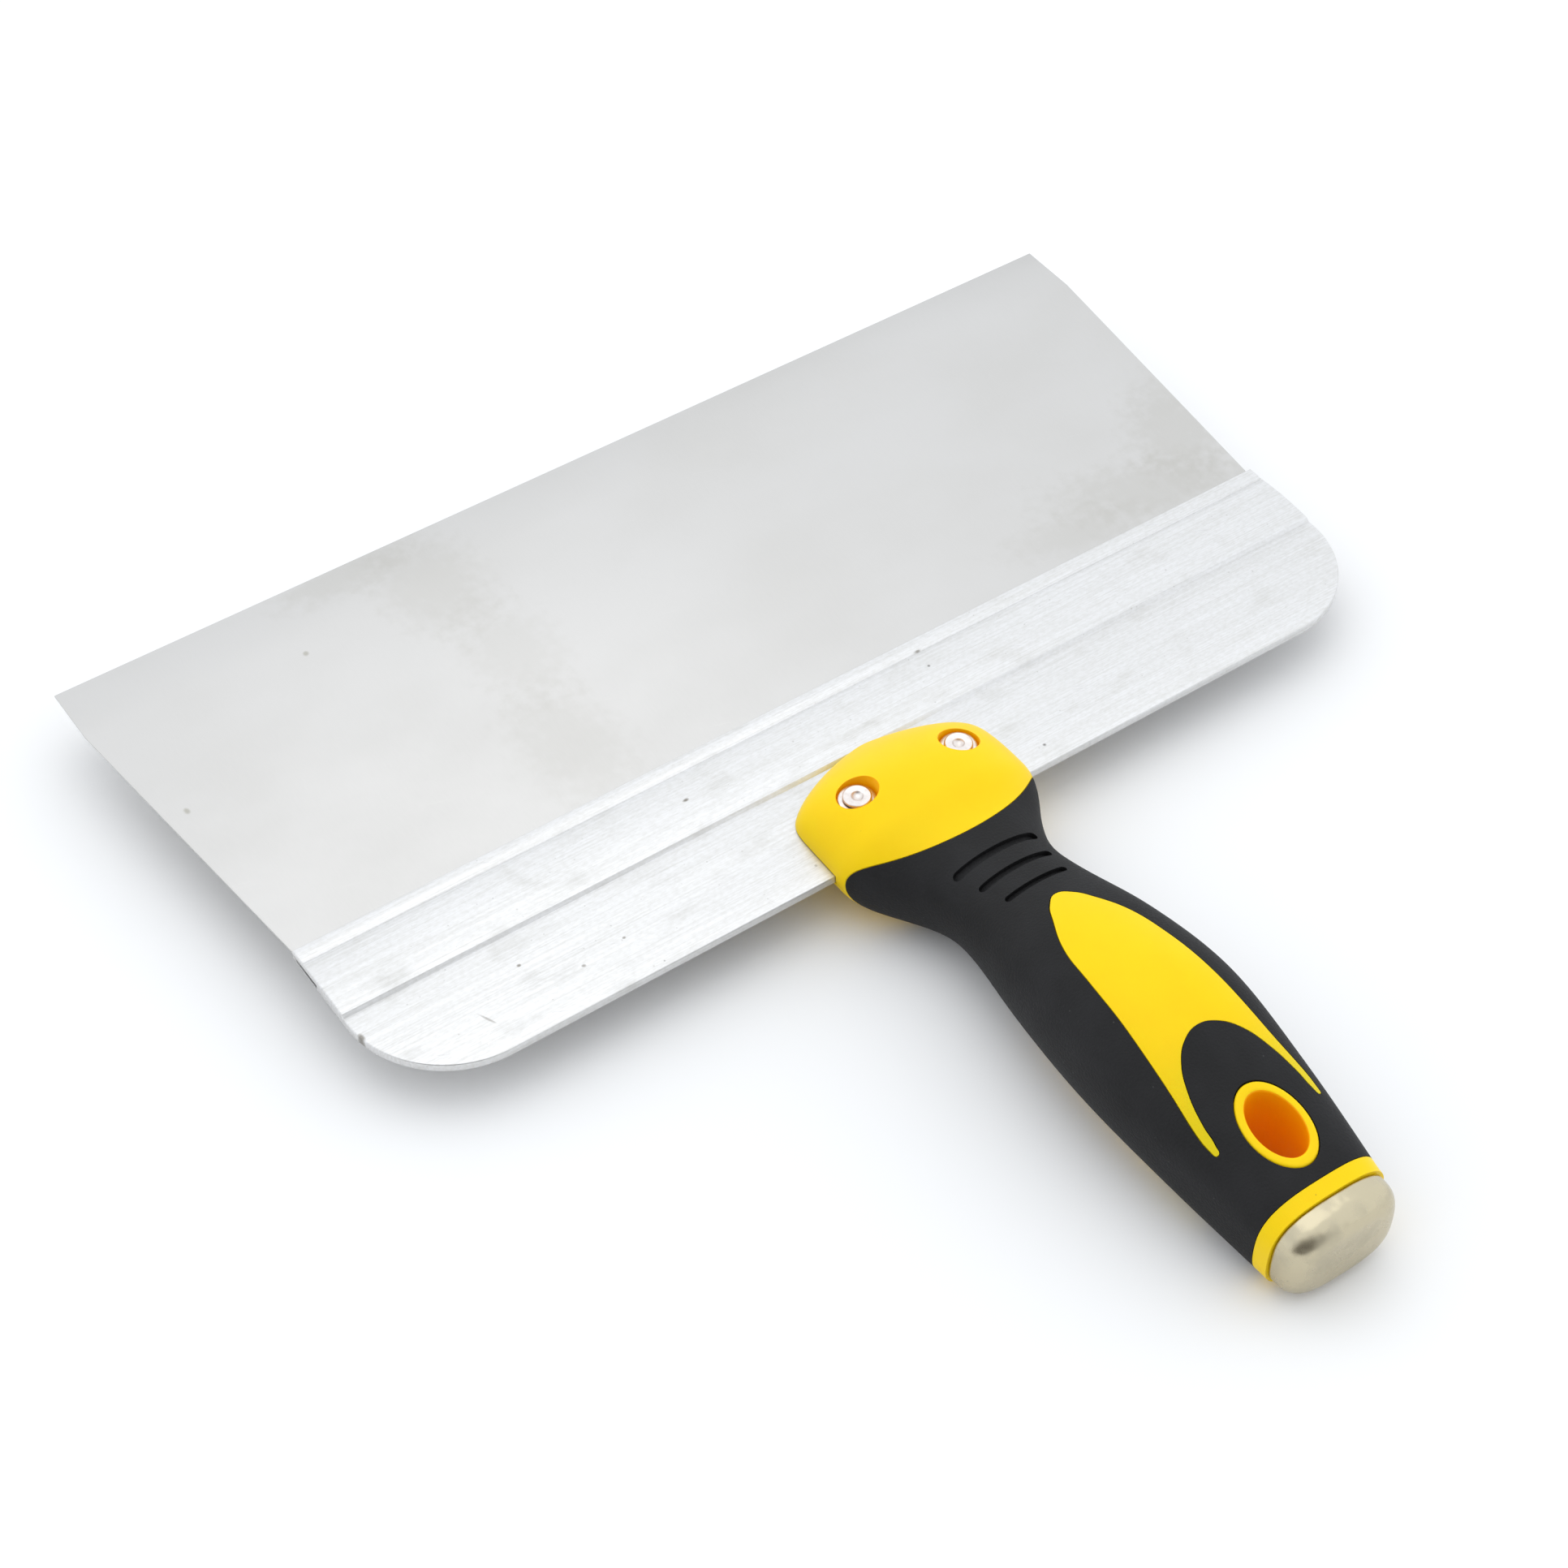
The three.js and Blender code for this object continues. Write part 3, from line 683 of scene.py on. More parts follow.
def hangRim():
    # A ring with rounded edges is turned about its axis, drawn out to an oval, and each half then
    # follows the surface above or below it.
    width = hangHole["rimWidth"] - seamGap
    radius = hangHole["rimRounding"]
    high = hangHole["rimProud"]
    paintedGlowMask = hangHole["rimDepth"]
    angles = [math.radians(degrees) for degrees in range(0, 91, 18)]
    corner = [(radius * (1 - math.cos(a)), high - radius * (1 - math.sin(a))) for a in angles]
    mirrored = [(width - r, z) for r, z in reversed(corner)]
    profile = [(0, -paintedGlowMask)] + corner + mirrored + [(width, -paintedGlowMask)]
    start = hangHole["halfWidth"]
    ring = [(start + r, z + reachAll) for r, z in profile]
    ring += [(start + r, -z - reachAll) for r, z in reversed(profile)]
    piece = turned("hangRim", ring + [ring[0]], 0, 0, steps=hangHole["rimSteps"])
    stretch = hangHole["rimExtraLength"]
    for vertex in piece.data.vertices:
        outward = math.hypot(vertex.co.x, vertex.co.y) / mm - start
        widthNow = start + outward
        lengthNow = hangHole["halfLength"] + outward * (1 + stretch / hangHole["rimWidth"])
        vertex.co.y = vertex.co.y * lengthNow / widthNow + hangHoleY * mm
        side = 1 if vertex.co.z > 0 else -1
        level = surfaceAt(vertex.co.x / mm, vertex.co.y / mm, side)
        vertex.co.z += (level - side * reachAll) * mm
    return piece


def makeCore(body):
    piece = copyOf(body, "handleCore")
    combine(piece, gripZone(seamGap))
    combine(piece, insideTube("innerBar", grip["wall"] + fitGap, barStart, barEnd), "UNION")
    tenonStart = collarStart + butt["tenonOverlap"]
    tenonEnd = capEnd - butt["capFace"] - fitGap
    combine(piece, capBody("tenon", butt["capWall"] + fitGap, tenonStart, tenonEnd), "UNION")
    pad = copyOf(body, "inlayPad")
    combine(pad, inlayTool(seamGap), "INTERSECT")
    combine(piece, pad, "UNION")
    hole = upright(
        "holeTool", hangHole["halfWidth"], hangHole["halfLength"], 0, hangHoleY, -reachAll, reachAll
    )
    combine(piece, hole)
    combine(piece, hangRim(), "UNION")
    jaws = box(
        "jawTool",
        (-reachAll, -backing["depth"] - fitGap, backingUnderside - fitGap),
        (reachAll, 0, plateTop + fitGap),
    )
    combine(piece, jaws)
    wide, sides = rivets["recessRadius"], rivets["recessSides"]
    upperFloor = rivets["recessFloor"]
    lowerFloor = -upperFloor - blade["thickness"]
    for x in rivetPlaces:
        combine(piece, rivetPost("boreTool", x, rivetBore, -reachAll, reachAll, rivets["boreSides"]))
        combine(piece, rivetPost("recessTool", x, wide, upperFloor, reachAll, sides))
        combine(piece, rivetPost("recessTool", x, wide, -reachAll, lowerFloor, sides))
    # the floor takes off what would reach below it
    long = 4 * reachAll
    ground = box("groundTool", (-2 * reachAll, -long, -reachAll), (2 * reachAll, long, 0))
    ground.data.transform(restPlace.inverted())
    combine(piece, ground)
    return piece


def capBody(name, inset, start, end):
    # a short stretch of the butt's section with a rounded end, drawn in by the inset
    section = sectionAt(collarEnd)
    rounding = max(butt["capRounding"] - inset, butt["leastRounding"])
    rings = [(start + shift, section, butt["capInset"] + inset) for shift in (0, butt["capCrispness"])]
    steps = butt["capRings"]
    for i in range(steps + 1):
        angle = math.pi / 2 * i / steps
        drawnIn = rounding * (1 - math.cos(angle))
        behind = end - rounding * (1 - math.sin(angle))
        rings.append((behind, section, butt["capInset"] + inset + drawnIn))
    return ringTube(name, rings)


def makeCap():
    start = collarEnd + butt["capGap"]
    piece = capBody("buttCap", 0, start, capEnd)
    socketStart = start - butt["tenonOverlap"]
    socket = capBody("socketTool", butt["capWall"], socketStart, capEnd - butt["capFace"])
    combine(piece, socket)
    return piece


def makeWasher(x):
    low = rivets["recessFloor"] + fitGap
    high = low + rivets["washerThickness"]
    bore, outer = rivetBore, rivets["washerRadius"]
    edge, rounding = rivets["edge"], rivets["washerRounding"]
    middle = 0.32 * rounding  # where the rounding's arc is halfway round
    profile = [(bore, low), (outer - edge, low), (outer, low + edge), (outer, high - rounding)]
    profile += [(outer - middle, high - middle), (outer - rounding, high)]
    profile += [(bore + rivets["washerSeat"], high), (bore, high - edge), (bore, low)]
    return turned("rivetWasher", profile, x, -rivets["fromLip"])


def makeRivet(x):
    # a low domed head, a shank and a rolled end with a dimple
    headTop = -rivets["recessFloor"] - blade["thickness"] - fitGap
    bottom = headTop - rivets["headThickness"]
    tail = rivets["recessFloor"] + 2 * fitGap + rivets["washerThickness"]
    top = tail + rivets["rollHeight"]
    outer, shank = rivets["washerRadius"], rivets["shankRadius"]
    profile = [(0, bottom)] + [(outer - inset, bottom + rise) for inset, rise in rivets["dome"]]
    profile += [(outer, headTop), (shank, headTop), (shank, tail)]
    profile += [(rivets["rollRadius"] - inset, top - drop) for inset, drop in rivets["roll"]]
    profile += [(rivets["dimpleRadius"] - inset, top - drop) for inset, drop in rivets["dimple"]]
    profile.append((0, top - rivets["dimpleDepth"]))
    return turned("rivetPin", profile, x, -rivets["fromLip"])


# Colours of the finishes, worn and clean.
finish = {
    "bladeColour": (0.62, 0.612, 0.60),
    "bladeStain": (0.41, 0.395, 0.345),
    "bladeSpeck": (0.2, 0.17, 0.12),
    "backingColour": (0.76, 0.76, 0.765),
    "backingStain": (0.52, 0.51, 0.47),
    "backingScratch": (0.5, 0.5, 0.52),
    "backingSpeck": (0.10, 0.09, 0.08),
    "backingDust": (0.30, 0.28, 0.25),
    "backingMark": (0.22, 0.20, 0.17),
    "yellow": (0.97, 0.66, 0.003),
    "yellowDark": (0.90, 0.50, 0.002),
    "holePaintedGlow": (0.88, 0.37, 0.0),
    "recessPaintedGlow": (1.0, 0.52, 0.0),
    "paintedGlowLight": (1.0, 0.25, 0.0),
    "paintedGlowStrength": 0.08,
    "legTip": (0.72, 0.58, 0.006),
    "plasticDirt": (0.35, 0.18, 0.02),
    "rubber": (0.007, 0.007, 0.0075),
    "rubberGrain": (0.017, 0.017, 0.018),
    "rubberBloom": (0.022, 0.022, 0.024),
    "rubberDust": (0.10, 0.10, 0.095),
    "rivet": (0.83, 0.78, 0.75),
    "rivetStain": (0.52, 0.45, 0.40),
    "nickel": (0.56, 0.50, 0.355),
    "nickelStain": (0.42, 0.39, 0.30),
    "nickelSpeck": (0.20, 0.18, 0.13),
}
# sockets of the Mix node when it mixes colours
mixUnder, mixOver, mixResult = 6, 7, 2


def addNode(tree, kind, **settings):
    made = tree.nodes.new(kind)
    for key, value in settings.items():
        setattr(made, key, value)
    return made


def feed(tree, made, values):
    # constants go on the node's own sockets, and outputs of other nodes are linked
    for socket, value in zip(made.inputs, values):
        if isinstance(value, (int, float, tuple)):
            socket.default_value = value
        else:
            tree.links.new(value, socket)


def mathNode(tree, operation, first, second, clamp=False):
    made = addNode(tree, "ShaderNodeMath", operation=operation, use_clamp=clamp)
    feed(tree, made, (first, second))
    return made.outputs[0]


def vectorNode(tree, operation, *values):
    made = addNode(tree, "ShaderNodeVectorMath", operation=operation)
    feed(tree, made, values)
    return made.outputs["Value" if operation in ("LENGTH", "DOT_PRODUCT") else "Vector"]


def newGroup(name, inputs, output):
    tree = bpy.data.node_groups.new(name, "ShaderNodeTree")
    for label, kind, value in inputs:
        socket = tree.interface.new_socket(label, in_out="INPUT", socket_type="NodeSocket" + kind)
        if value is not None:
            socket.default_value = value
    tree.interface.new_socket(output, in_out="OUTPUT", socket_type="NodeSocketFloat")
    return tree, addNode(tree, "NodeGroupInput").outputs, addNode(tree, "NodeGroupOutput").inputs


def turnedBy(tree, vector, angle):
    made = addNode(tree, "ShaderNodeVectorRotate", rotation_type="Z_AXIS")
    tree.links.new(vector, made.inputs["Vector"])
    tree.links.new(angle, made.inputs["Angle"])
    return made.outputs[0]


def noiseGroup():
    # cloudy noise, stretched to streaks where the Stretch values differ
    inputs = [("Vector", "Vector", None), ("Stretch", "Vector", (1, 1, 1)), ("Detail", "Float", 3.0)]
    inputs += [("Seed", "Float", 0.0), ("Low", "Float", 0.35), ("High", "Float", 0.65)]
    tree, given, result = newGroup("cloudyNoise", inputs, "Value")
    noise = addNode(tree, "ShaderNodeTexNoise", noise_dimensions="4D")
    noise.inputs["Scale"].default_value = 1
    stretched = vectorNode(tree, "MULTIPLY", given["Vector"], given["Stretch"])
    tree.links.new(stretched, noise.inputs["Vector"])
    tree.links.new(given["Seed"], noise.inputs["W"])
    tree.links.new(given["Detail"], noise.inputs["Detail"])
    ramp = addNode(tree, "ShaderNodeMapRange", interpolation_type="SMOOTHSTEP")
    tree.links.new(noise.outputs[0], ramp.inputs["Value"])
    tree.links.new(given["Low"], ramp.inputs["From Min"])
    tree.links.new(given["High"], ramp.inputs["From Max"])
    tree.links.new(ramp.outputs["Result"], result["Value"])
    return tree


def scatterGroup():
    # scattered specks, or short scratches where the Stretch values differ
    inputs = [("Vector", "Vector", None), ("Turn", "Float", 0.0), ("Stretch", "Vector", (1, 1, 1))]
    inputs += [("Share", "Float", 0.3), ("Radius", "Float", 0.1)]
    tree, given, result = newGroup("scatteredMarks", inputs, "Mask")
    cells = addNode(tree, "ShaderNodeTexVoronoi", feature="F1")
    cells.inputs["Scale"].default_value = 1
    vector = turnedBy(tree, given["Vector"], given["Turn"])
    stretched = vectorNode(tree, "MULTIPLY", vector, given["Stretch"])
    tree.links.new(stretched, cells.inputs["Vector"])
    split = addNode(tree, "ShaderNodeSeparateColor")
    tree.links.new(cells.outputs["Color"], split.inputs[0])
    chosen = mathNode(tree, "LESS_THAN", split.outputs[0], given["Share"])
    smallest, softEdge = 0.4, 1.4  # the smallest speck, and where its edge has faded
    size = mathNode(tree, "ADD", split.outputs[1], smallest)
    radius = mathNode(tree, "MULTIPLY", given["Radius"], size)
    nearness = mathNode(tree, "DIVIDE", cells.outputs["Distance"], radius)
    soft = mathNode(tree, "SUBTRACT", softEdge, nearness, clamp=True)
    tree.links.new(mathNode(tree, "MULTIPLY", soft, chosen), result["Mask"])
    return tree


def markGroup():
    # one ragged mark at a chosen place
    inputs = [("Vector", "Vector", None), ("Centre", "Vector", (0, 0, 0)), ("Turn", "Float", 0.0)]
    inputs += [("Stretch", "Vector", (1, 1, 1)), ("Raggedness", "Float", 0.6)]
    tree, given, result = newGroup("placedMark", inputs, "Mask")
    shift = vectorNode(tree, "SUBTRACT", given["Vector"], given["Centre"])
    vector = turnedBy(tree, shift, given["Turn"])
    length = vectorNode(tree, "LENGTH", vectorNode(tree, "MULTIPLY", vector, given["Stretch"]))
    noise = addNode(tree, "ShaderNodeTexNoise")
    noise.inputs["Scale"].default_value = 0.35
    noise.inputs["Detail"].default_value = 4
    tree.links.new(given["Vector"], noise.inputs["Vector"])
    # the noise runs from 0 to 1, and the outline moves both in and out
    signed = mathNode(tree, "MULTIPLY", mathNode(tree, "SUBTRACT", noise.outputs[0], 0.5), 2.0)
    ragged = mathNode(tree, "MULTIPLY", signed, given["Raggedness"])
    reach = mathNode(tree, "ADD", length, ragged)
    ramp = addNode(tree, "ShaderNodeMapRange", interpolation_type="SMOOTHSTEP")
    ramp.inputs["From Min"].default_value = 1
    ramp.inputs["From Max"].default_value = 0.25
    tree.links.new(reach, ramp.inputs["Value"])
    tree.links.new(ramp.outputs["Result"], result["Mask"])
    return tree


groups = {"noise": noiseGroup(), "scatter": scatterGroup(), "mark": markGroup()}


class Surface:
    # a material and the short calls that build it up; its coordinates are the knife's own millimetres
    def __init__(self, name, colour, roughness, metallic=0.0, **settings):
        self.material = bpy.data.materials.new(name)
        self.material.use_nodes = True
        self.tree = self.material.node_tree
        self.shader = self.tree.nodes["Principled BSDF"]
        self.shader.inputs["Roughness"].default_value = roughness
        self.shader.inputs["Metallic"].default_value = metallic
        for socket, value in settings.items():
            self.shader.inputs[socket.replace("_", " ")].default_value = value
        self.shader.inputs["Base Color"].default_value = (*colour, 1)
        coordinates = addNode(self.tree, "ShaderNodeTexCoord")
        mapping = addNode(self.tree, "ShaderNodeMapping")
        mapping.inputs["Scale"].default_value = (1 / mm, 1 / mm, 1 / mm)
        mapping.inputs["Rotation"].default_value = (-tilt, 0, 0)
        mapping.inputs["Location"].default_value = restPlace.inverted().translation / mm
        self.tree.links.new(coordinates.outputs["Object"], mapping.inputs["Vector"])
        self.place = mapping.outputs[0]
        self.height = None

    def effect(self, group, stretch, **values):
        # a mask from one of the groups; one number stretches it the same way along every axis
        made = addNode(self.tree, "ShaderNodeGroup", node_tree=groups[group])
        self.tree.links.new(self.place, made.inputs["Vector"])
        made.inputs["Stretch"].default_value = stretch if isinstance(stretch, tuple) else (stretch,) * 3
        for socket, value in values.items():
            made.inputs[socket].default_value = value
        return made.outputs[0]

    def layer(self, group, stretch, tint=None, amount=1.0, rough=0.0, raised=0.0, **values):
        # one effect, laid on as colour, as roughness and as relief in millimetres
        mask = self.effect(group, stretch, **values)
        if tint:
            self.tint(mask, finish[tint], amount)
        if rough:
            self.roughen(mask, rough)
        if raised:
            self.lift(mask, raised)

    def marks(self, entries, height, raggedness, tint, rough=0.0):
        for x, y, length, width, turn, strength in entries:
            self.layer(
                "mark",
                (1 / length, 1 / width, 0.1),
                tint,
                strength,
                rough * strength,
                Centre=(x, y, height),
                Turn=math.radians(turn),
                Raggedness=raggedness,
            )

    def tint(self, mask, colour, amount=1.0):
        # lays a colour over the base colour where the mask is
        if amount < 1:
            mask = mathNode(self.tree, "MULTIPLY", mask, amount)
        socket = self.shader.inputs["Base Color"]
        mix = addNode(self.tree, "ShaderNodeMix", data_type="RGBA")
        under, over = mix.inputs[mixUnder], mix.inputs[mixOver]
        if socket.is_linked:
            self.tree.links.new(socket.links[0].from_socket, under)
        else:
            under.default_value = socket.default_value
        over.default_value = (*colour, 1)
        self.tree.links.new(mask, mix.inputs[0])
        self.tree.links.new(mix.outputs[mixResult], socket)

    def roughen(self, mask, by):
        socket = self.shader.inputs["Roughness"]
        before = socket.links[0].from_socket if socket.is_linked else socket.default_value
        after = mathNode(self.tree, "ADD", before, mathNode(self.tree, "MULTIPLY", mask, by))
        self.tree.links.new(after, socket)

    def lift(self, mask, by):
        part = mathNode(self.tree, "MULTIPLY", mask, by)
        self.height = part if self.height is None else mathNode(self.tree, "ADD", self.height, part)

    def post(self, x, y, halfWidth, halfLength):
        # 1 inside an upright oval post, 0 outside
        shift = vectorNode(self.tree, "SUBTRACT", self.place, (x, y, 0))
        flat = vectorNode(self.tree, "MULTIPLY", shift, (1 / halfWidth, 1 / halfLength, 0))
        return mathNode(self.tree, "LESS_THAN", vectorNode(self.tree, "LENGTH", flat), 1.0)

    def ahead(self, y):
        # 1 on the blade's side of y
        split = addNode(self.tree, "ShaderNodeSeparateXYZ")
        self.tree.links.new(self.place, split.inputs[0])
        return mathNode(self.tree, "GREATER_THAN", split.outputs["Y"], y)

    def glow(self, mask, colour, strength):
        # stands in for light that has passed through the piece
        mix = addNode(self.tree, "ShaderNodeMix", data_type="RGBA")
        self.tree.links.new(mask, mix.inputs[0])
        mix.inputs[mixUnder].default_value = (0, 0, 0, 1)
        mix.inputs[mixOver].default_value = (*colour, 1)
        self.tree.links.new(mix.outputs[mixResult], self.shader.inputs["Emission Color"])
        self.shader.inputs["Emission Strength"].default_value = strength

    def done(self):
        if self.height is not None:
            bump = addNode(self.tree, "ShaderNodeBump")
            bump.inputs["Distance"].default_value = mm
            self.tree.links.new(self.height, bump.inputs["Height"])
            self.tree.links.new(bump.outputs[0], self.shader.inputs["Normal"])
        return self.material


def bladeSteel():
    surface = Surface("bladeSteel", finish["bladeColour"], 0.4, 1.0)
    surface.layer("noise", (0.02, 0.03, 0.03), "bladeStain", 0.10, 0.06, Low=0.3, High=0.75, Seed=2.0)
    surface.marks(blade["marks"], 0, 0.55, "bladeStain", rough=0.1)
    surface.layer("scatter", 0.09, "bladeSpeck", 0.5, Share=0.10, Radius=0.035)
    scratch = {"Turn": 0.3, "Share": 0.10, "Radius": 0.12}
    surface.layer("scatter", (0.05, 1.1, 0.05), rough=-0.08, raised=-0.006, **scratch)
    surface.layer("noise", (3.0, 0.3, 3.0), rough=0.05, raised=0.0012, Low=0.2, High=0.8)
    return surface.done()


def backingAluminium():
    surface = Surface("backingAluminium", finish["backingColour"], 0.36, 1.0)
    streak = {"Low": 0.3, "High": 0.75, "Detail": 5.0}
    surface.layer("noise", (0.03, 3.2, 1.0), "backingStain", 0.30, 0.12, -0.006, **streak)
    grain = {"Low": 0.35, "High": 0.7, "Seed": 8.0}
    surface.layer("noise", (0.9, 2.0, 1.0), "backingStain", 0.25, raised=-0.006, **grain)
    stain = {"Low": 0.52, "High": 0.72, "Seed": 5.0}
    surface.layer("noise", (0.09, 0.16, 0.1), "backingStain", 0.2, 0.1, **stain)
    along = {"Turn": 0.5, "Share": 0.14, "Radius": 0.12}
    surface.layer("scatter", (0.09, 1.3, 0.3), "backingScratch", 0.3, raised=-0.012, **along)
    across = {"Turn": -0.35, "Share": 0.10, "Radius": 0.10}
    surface.layer("scatter", (1.4, 0.12, 0.3), "backingScratch", 0.25, raised=-0.01, **across)
    surface.layer("scatter", 0.16, "backingSpeck", 0.75, Share=0.16, Radius=0.045)
    surface.layer("scatter", 0.7, "backingDust", 0.35, Share=0.22, Radius=0.10)
    surface.marks(backing["marks"], 1, 0.5, "backingMark")
    return surface.done()


def yellowPlastic():
    surface = Surface(
        "yellowPlastic",
        finish["yellow"],
        0.38,
        Subsurface_Weight=0.12,
        Subsurface_Radius=(0.004, 0.002, 0.0005),
        Subsurface_Scale=0.6,
        Specular_IOR_Level=0.14,
    )
    surface.layer("noise", 0.12, "yellowDark", 0.18, Low=0.3, High=0.8, Seed=1.0)
    # the inlay's thin legs darken, but neither the ring round the hang hole nor the collar does
    darkest = (0, -(collarStart - inlay["end"] + 2), 10)
    legs = surface.effect("mark", (1 / 40, 1 / 26, 1 / 40), Centre=darkest, Raggedness=0.1)
    inRim = surface.post(0, hangHoleY, rimHalfWidth + seamGap, rimHalfLength + seamGap)
    legs = mathNode(surface.tree, "MULTIPLY", legs, mathNode(surface.tree, "SUBTRACT", 1.0, inRim))
    legs = mathNode(surface.tree, "MULTIPLY", legs, surface.ahead(-collarStart))
    surface.tint(legs, finish["legTip"], 0.9)
    # painted light: the orange that light passing through the plastic gives the hang hole and the
    # recesses is painted into the base colour, with a faint painted glow as emission
    insideHole, insideRecess = 0.2, 0.12
    paintedGlowMask = surface.post(
        0, hangHoleY, hangHole["halfWidth"] + insideHole, hangHole["halfLength"] + insideHole
    )
    surface.tint(paintedGlowMask, finish["holePaintedGlow"])
    for x in rivetPlaces:
        reach = rivets["recessRadius"] + insideRecess
        recess = surface.post(x, -rivets["fromLip"], reach, reach)
        surface.tint(recess, finish["recessPaintedGlow"])
        paintedGlowMask = mathNode(surface.tree, "MAXIMUM", paintedGlowMask, recess)
    surface.glow(paintedGlowMask, finish["paintedGlowLight"], finish["paintedGlowStrength"])
    surface.layer("noise", 2.2, raised=0.010, Low=0.2, High=0.8)
    surface.layer("scatter", 0.35, "plasticDirt", 0.55, Share=0.12, Radius=0.05)
    scratch = {"Turn": 0.9, "Share": 0.12, "Radius": 0.1}
    surface.layer("scatter", (0.25, 2.0, 0.6), rough=0.15, raised=-0.012, **scratch)
    return surface.done()


def blackRubber():
    surface = Surface("blackRubber", finish["rubber"], 0.62, Specular_IOR_Level=0.25)
    surface.layer("noise", 2.0, "rubberGrain", 0.5, 0.10, 0.05, Low=0.3, High=0.7, Detail=3.0)
    surface.layer("noise", (0.10, 0.07, 0.10), "rubberBloom", 0.5, Low=0.35, High=0.8, Seed=3.0)
    surface.layer("scatter", 0.6, "rubberDust", 0.5, Share=0.16, Radius=0.07)
    surface.layer("scatter", (1.2, 0.2, 0.4), rough=-0.12, Turn=0.4, Share=0.08, Radius=0.1)
    return surface.done()


def rivetSteel():
    surface = Surface("rivetSteel", finish["rivet"], 0.3, 1.0)
    surface.layer("noise", 0.9, "rivetStain", 0.35, 0.15, Low=0.4, High=0.75, Seed=4.0)
    surface.layer("noise", 2.4, raised=0.008, Low=0.3, High=0.7)
    return surface.done()


def nickelPlate():
    surface = Surface("nickelPlate", finish["nickel"], 0.24, 1.0)
    surface.layer("noise", 0.22, "nickelStain", 0.35, 0.14, Low=0.4, High=0.7, Seed=6.0)
    surface.layer("noise", 0.4, raised=0.05, Low=0.2, High=0.8, Detail=1.0)
    surface.layer("scatter", 0.9, "nickelSpeck", 0.6, Share=0.12, Radius=0.09)
    return surface.done()


def finishPiece(piece, name, node, material, smoothAngle=32):
    focus(piece)
    piece.name = name
    piece.data.name = name
    piece.matrix_world = restPlace
    bpy.ops.object.transform_apply(location=True, rotation=True, scale=True)
    bpy.ops.object.shade_smooth_by_angle(angle=math.radians(smoothAngle))
    piece.data.materials.clear()
    piece.data.materials.append(material)
    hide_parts(node)
    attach(piece, "root")
    print("made", name, len(piece.data.polygons), "faces")


finishPiece(makeBlade(), "bladeSheet", "blade", bladeSteel())
finishPiece(makeBacking(), "backingBar", "backing", backingAluminium())

body = handleBody()
finishPiece(makeCore(body), "handleCore", "handle_core", yellowPlastic())
finishPiece(makeSoftGrip(body), "gripSleeve", "soft_grip", blackRubber())
bpy.data.objects.remove(body)

rivetFinish = rivetSteel()
for x, side in zip(rivetPlaces, ("Left", "Right")):
    ending = side.lower()
    finishPiece(makeRivet(x), "rivet" + side, "rivet_" + ending, rivetFinish)
    finishPiece(
        makeWasher(x), "rivetWasher" + side, "rivet_washer_" + ending, rivetFinish
    )
finishPiece(makeCap(), "hammerCap", "hammer_cap", nickelPlate())

# Floor, light and camera. The studio's lengths are metres, its angles degrees.
studio = {
    "floorSize": 6.0,
    "floorColour": (0.95, 0.95, 0.95),
    "floorRoughness": 0.9,
    "floorSpecular": 0.1,
    "skyColour": (0.945, 0.97, 1.0),
    "skyStrength": 1.22,
    "roomColour": (0.16, 0.155, 0.15),  # the unlit room on the viewer's side
    "roomAzimuth": 214.0,
    "roomHeight": 4.0,
    "roomSpread": (64.0, 20.0),
    "keyPower": 2.6,
    "keySize": 1.5,
    "keyAzimuth": 20.0,
    "keyHeight": 80.0,
    "keyDistance": 1.7,
    "keyColour": (1.0, 0.985, 0.955),
}
cameraPlace = {
    "aim": (-10.65, 31.86, 0.0),
    "azimuth": 34.18,
    "elevation": 46.54,
    "distance": 656.3,
    "roll": -1.016,
    "lens": 73.86,
}


def directionOf(azimuth, elevation):
    # unit vector for degrees measured from +Y towards +X, and up from the floor
    a, e = math.radians(azimuth), math.radians(elevation)
    return Vector((math.sin(a) * math.cos(e), math.cos(a) * math.cos(e), math.sin(e)))


deselectAll()
bpy.ops.mesh.primitive_plane_add(size=studio["floorSize"])
floor = bpy.context.object
floor.name = "floor"
floorPaint = bpy.data.materials.new("floorPaint")
floorPaint.use_nodes = True
floorShader = floorPaint.node_tree.nodes["Principled BSDF"]
floorShader.inputs["Base Color"].default_value = (*studio["floorColour"], 1)
floorShader.inputs["Roughness"].default_value = studio["floorRoughness"]
floorShader.inputs["Specular IOR Level"].default_value = studio["floorSpecular"]
floor.data.materials.append(floorPaint)

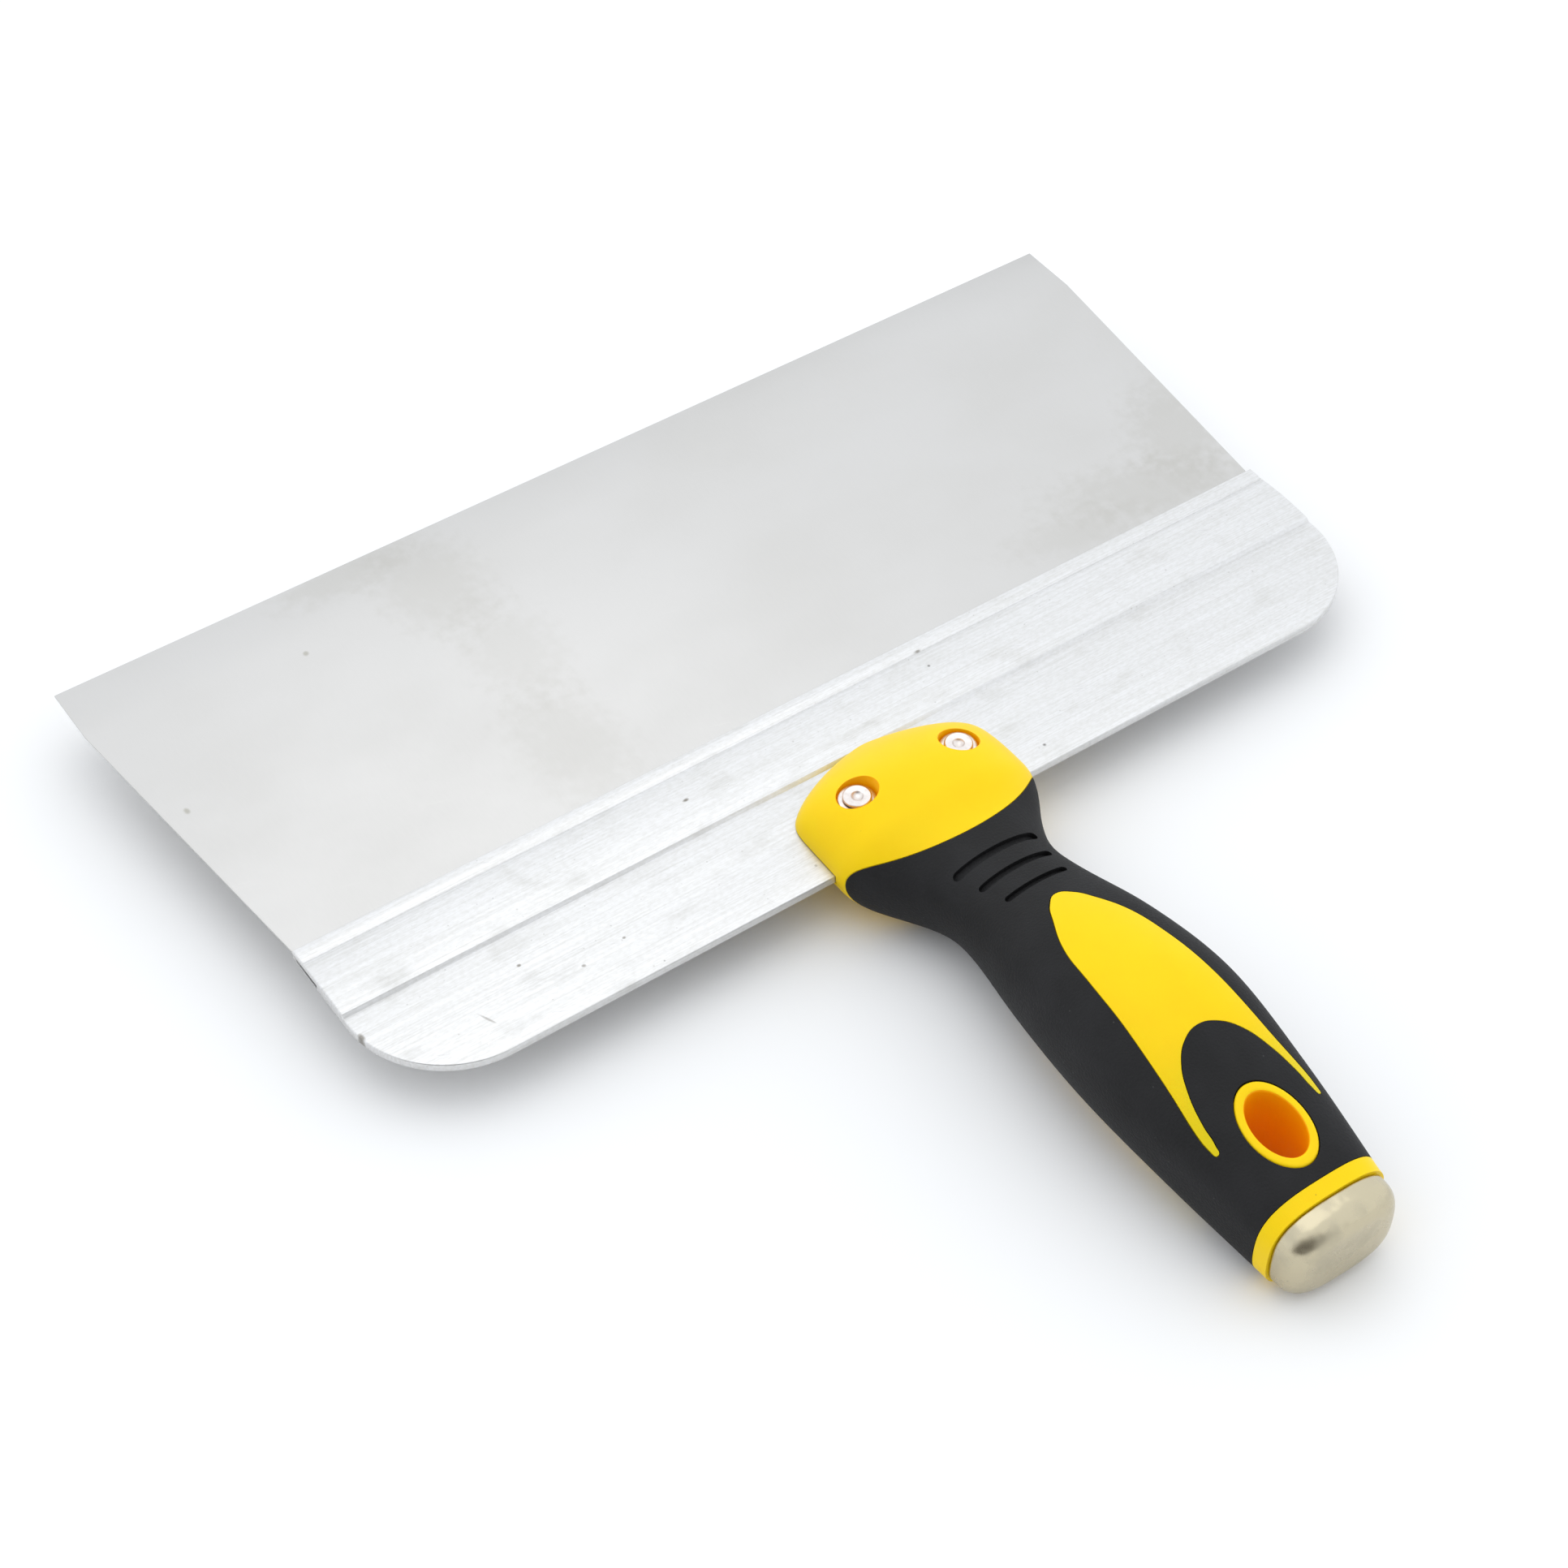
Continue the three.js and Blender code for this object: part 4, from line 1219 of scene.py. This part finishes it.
deselectAll()
towardsKey = directionOf(studio["keyAzimuth"], studio["keyHeight"])
bpy.ops.object.light_add(type="AREA", location=towardsKey * studio["keyDistance"])
keyLight = bpy.context.object
keyLight.name = "keyLight"
keyLight.rotation_euler = towardsKey.to_track_quat("Z", "Y").to_euler()
keyLight.data.shape = "DISK"
keyLight.data.size = studio["keySize"]
keyLight.data.energy = studio["keyPower"]
keyLight.data.color = studio["keyColour"]

world = bpy.data.worlds.new("studioSky")
bpy.context.scene.world = world
world.use_nodes = True
skyTree = world.node_tree
sky = skyTree.nodes["Background"]
sky.inputs["Strength"].default_value = studio["skyStrength"]
skyDirection = addNode(skyTree, "ShaderNodeTexCoord")
room = tuple(directionOf(studio["roomAzimuth"], studio["roomHeight"]))
towardsRoom = vectorNode(skyTree, "DOT_PRODUCT", skyDirection.outputs["Generated"], room)
roomShare = addNode(skyTree, "ShaderNodeMapRange", interpolation_type="SMOOTHSTEP")
for limit, angle in zip(("From Min", "From Max"), studio["roomSpread"]):
    roomShare.inputs[limit].default_value = math.cos(math.radians(angle))
skyTree.links.new(towardsRoom, roomShare.inputs["Value"])
skyMix = addNode(skyTree, "ShaderNodeMix", data_type="RGBA")
skyMix.inputs[mixUnder].default_value = (*studio["skyColour"], 1)
skyMix.inputs[mixOver].default_value = (*studio["roomColour"], 1)
skyTree.links.new(roomShare.outputs["Result"], skyMix.inputs[0])
skyTree.links.new(skyMix.outputs[mixResult], sky.inputs["Color"])

scene = bpy.context.scene
scene.view_settings.view_transform = "Standard"
scene.view_settings.look = "None"

away = -directionOf(cameraPlace["azimuth"], -cameraPlace["elevation"])
aim = Vector(cameraPlace["aim"])
bpy.ops.object.camera_add(location=(aim + away * cameraPlace["distance"]) * mm)
camera = bpy.context.object
roll = Matrix.Rotation(math.radians(cameraPlace["roll"]), 3, "Z")
camera.rotation_euler = (away.to_track_quat("Z", "Y").to_matrix() @ roll).to_euler()
camera.data.lens = cameraPlace["lens"]
camera.data.clip_start = 0.01
scene.camera = camera
print("floor, light and camera placed")
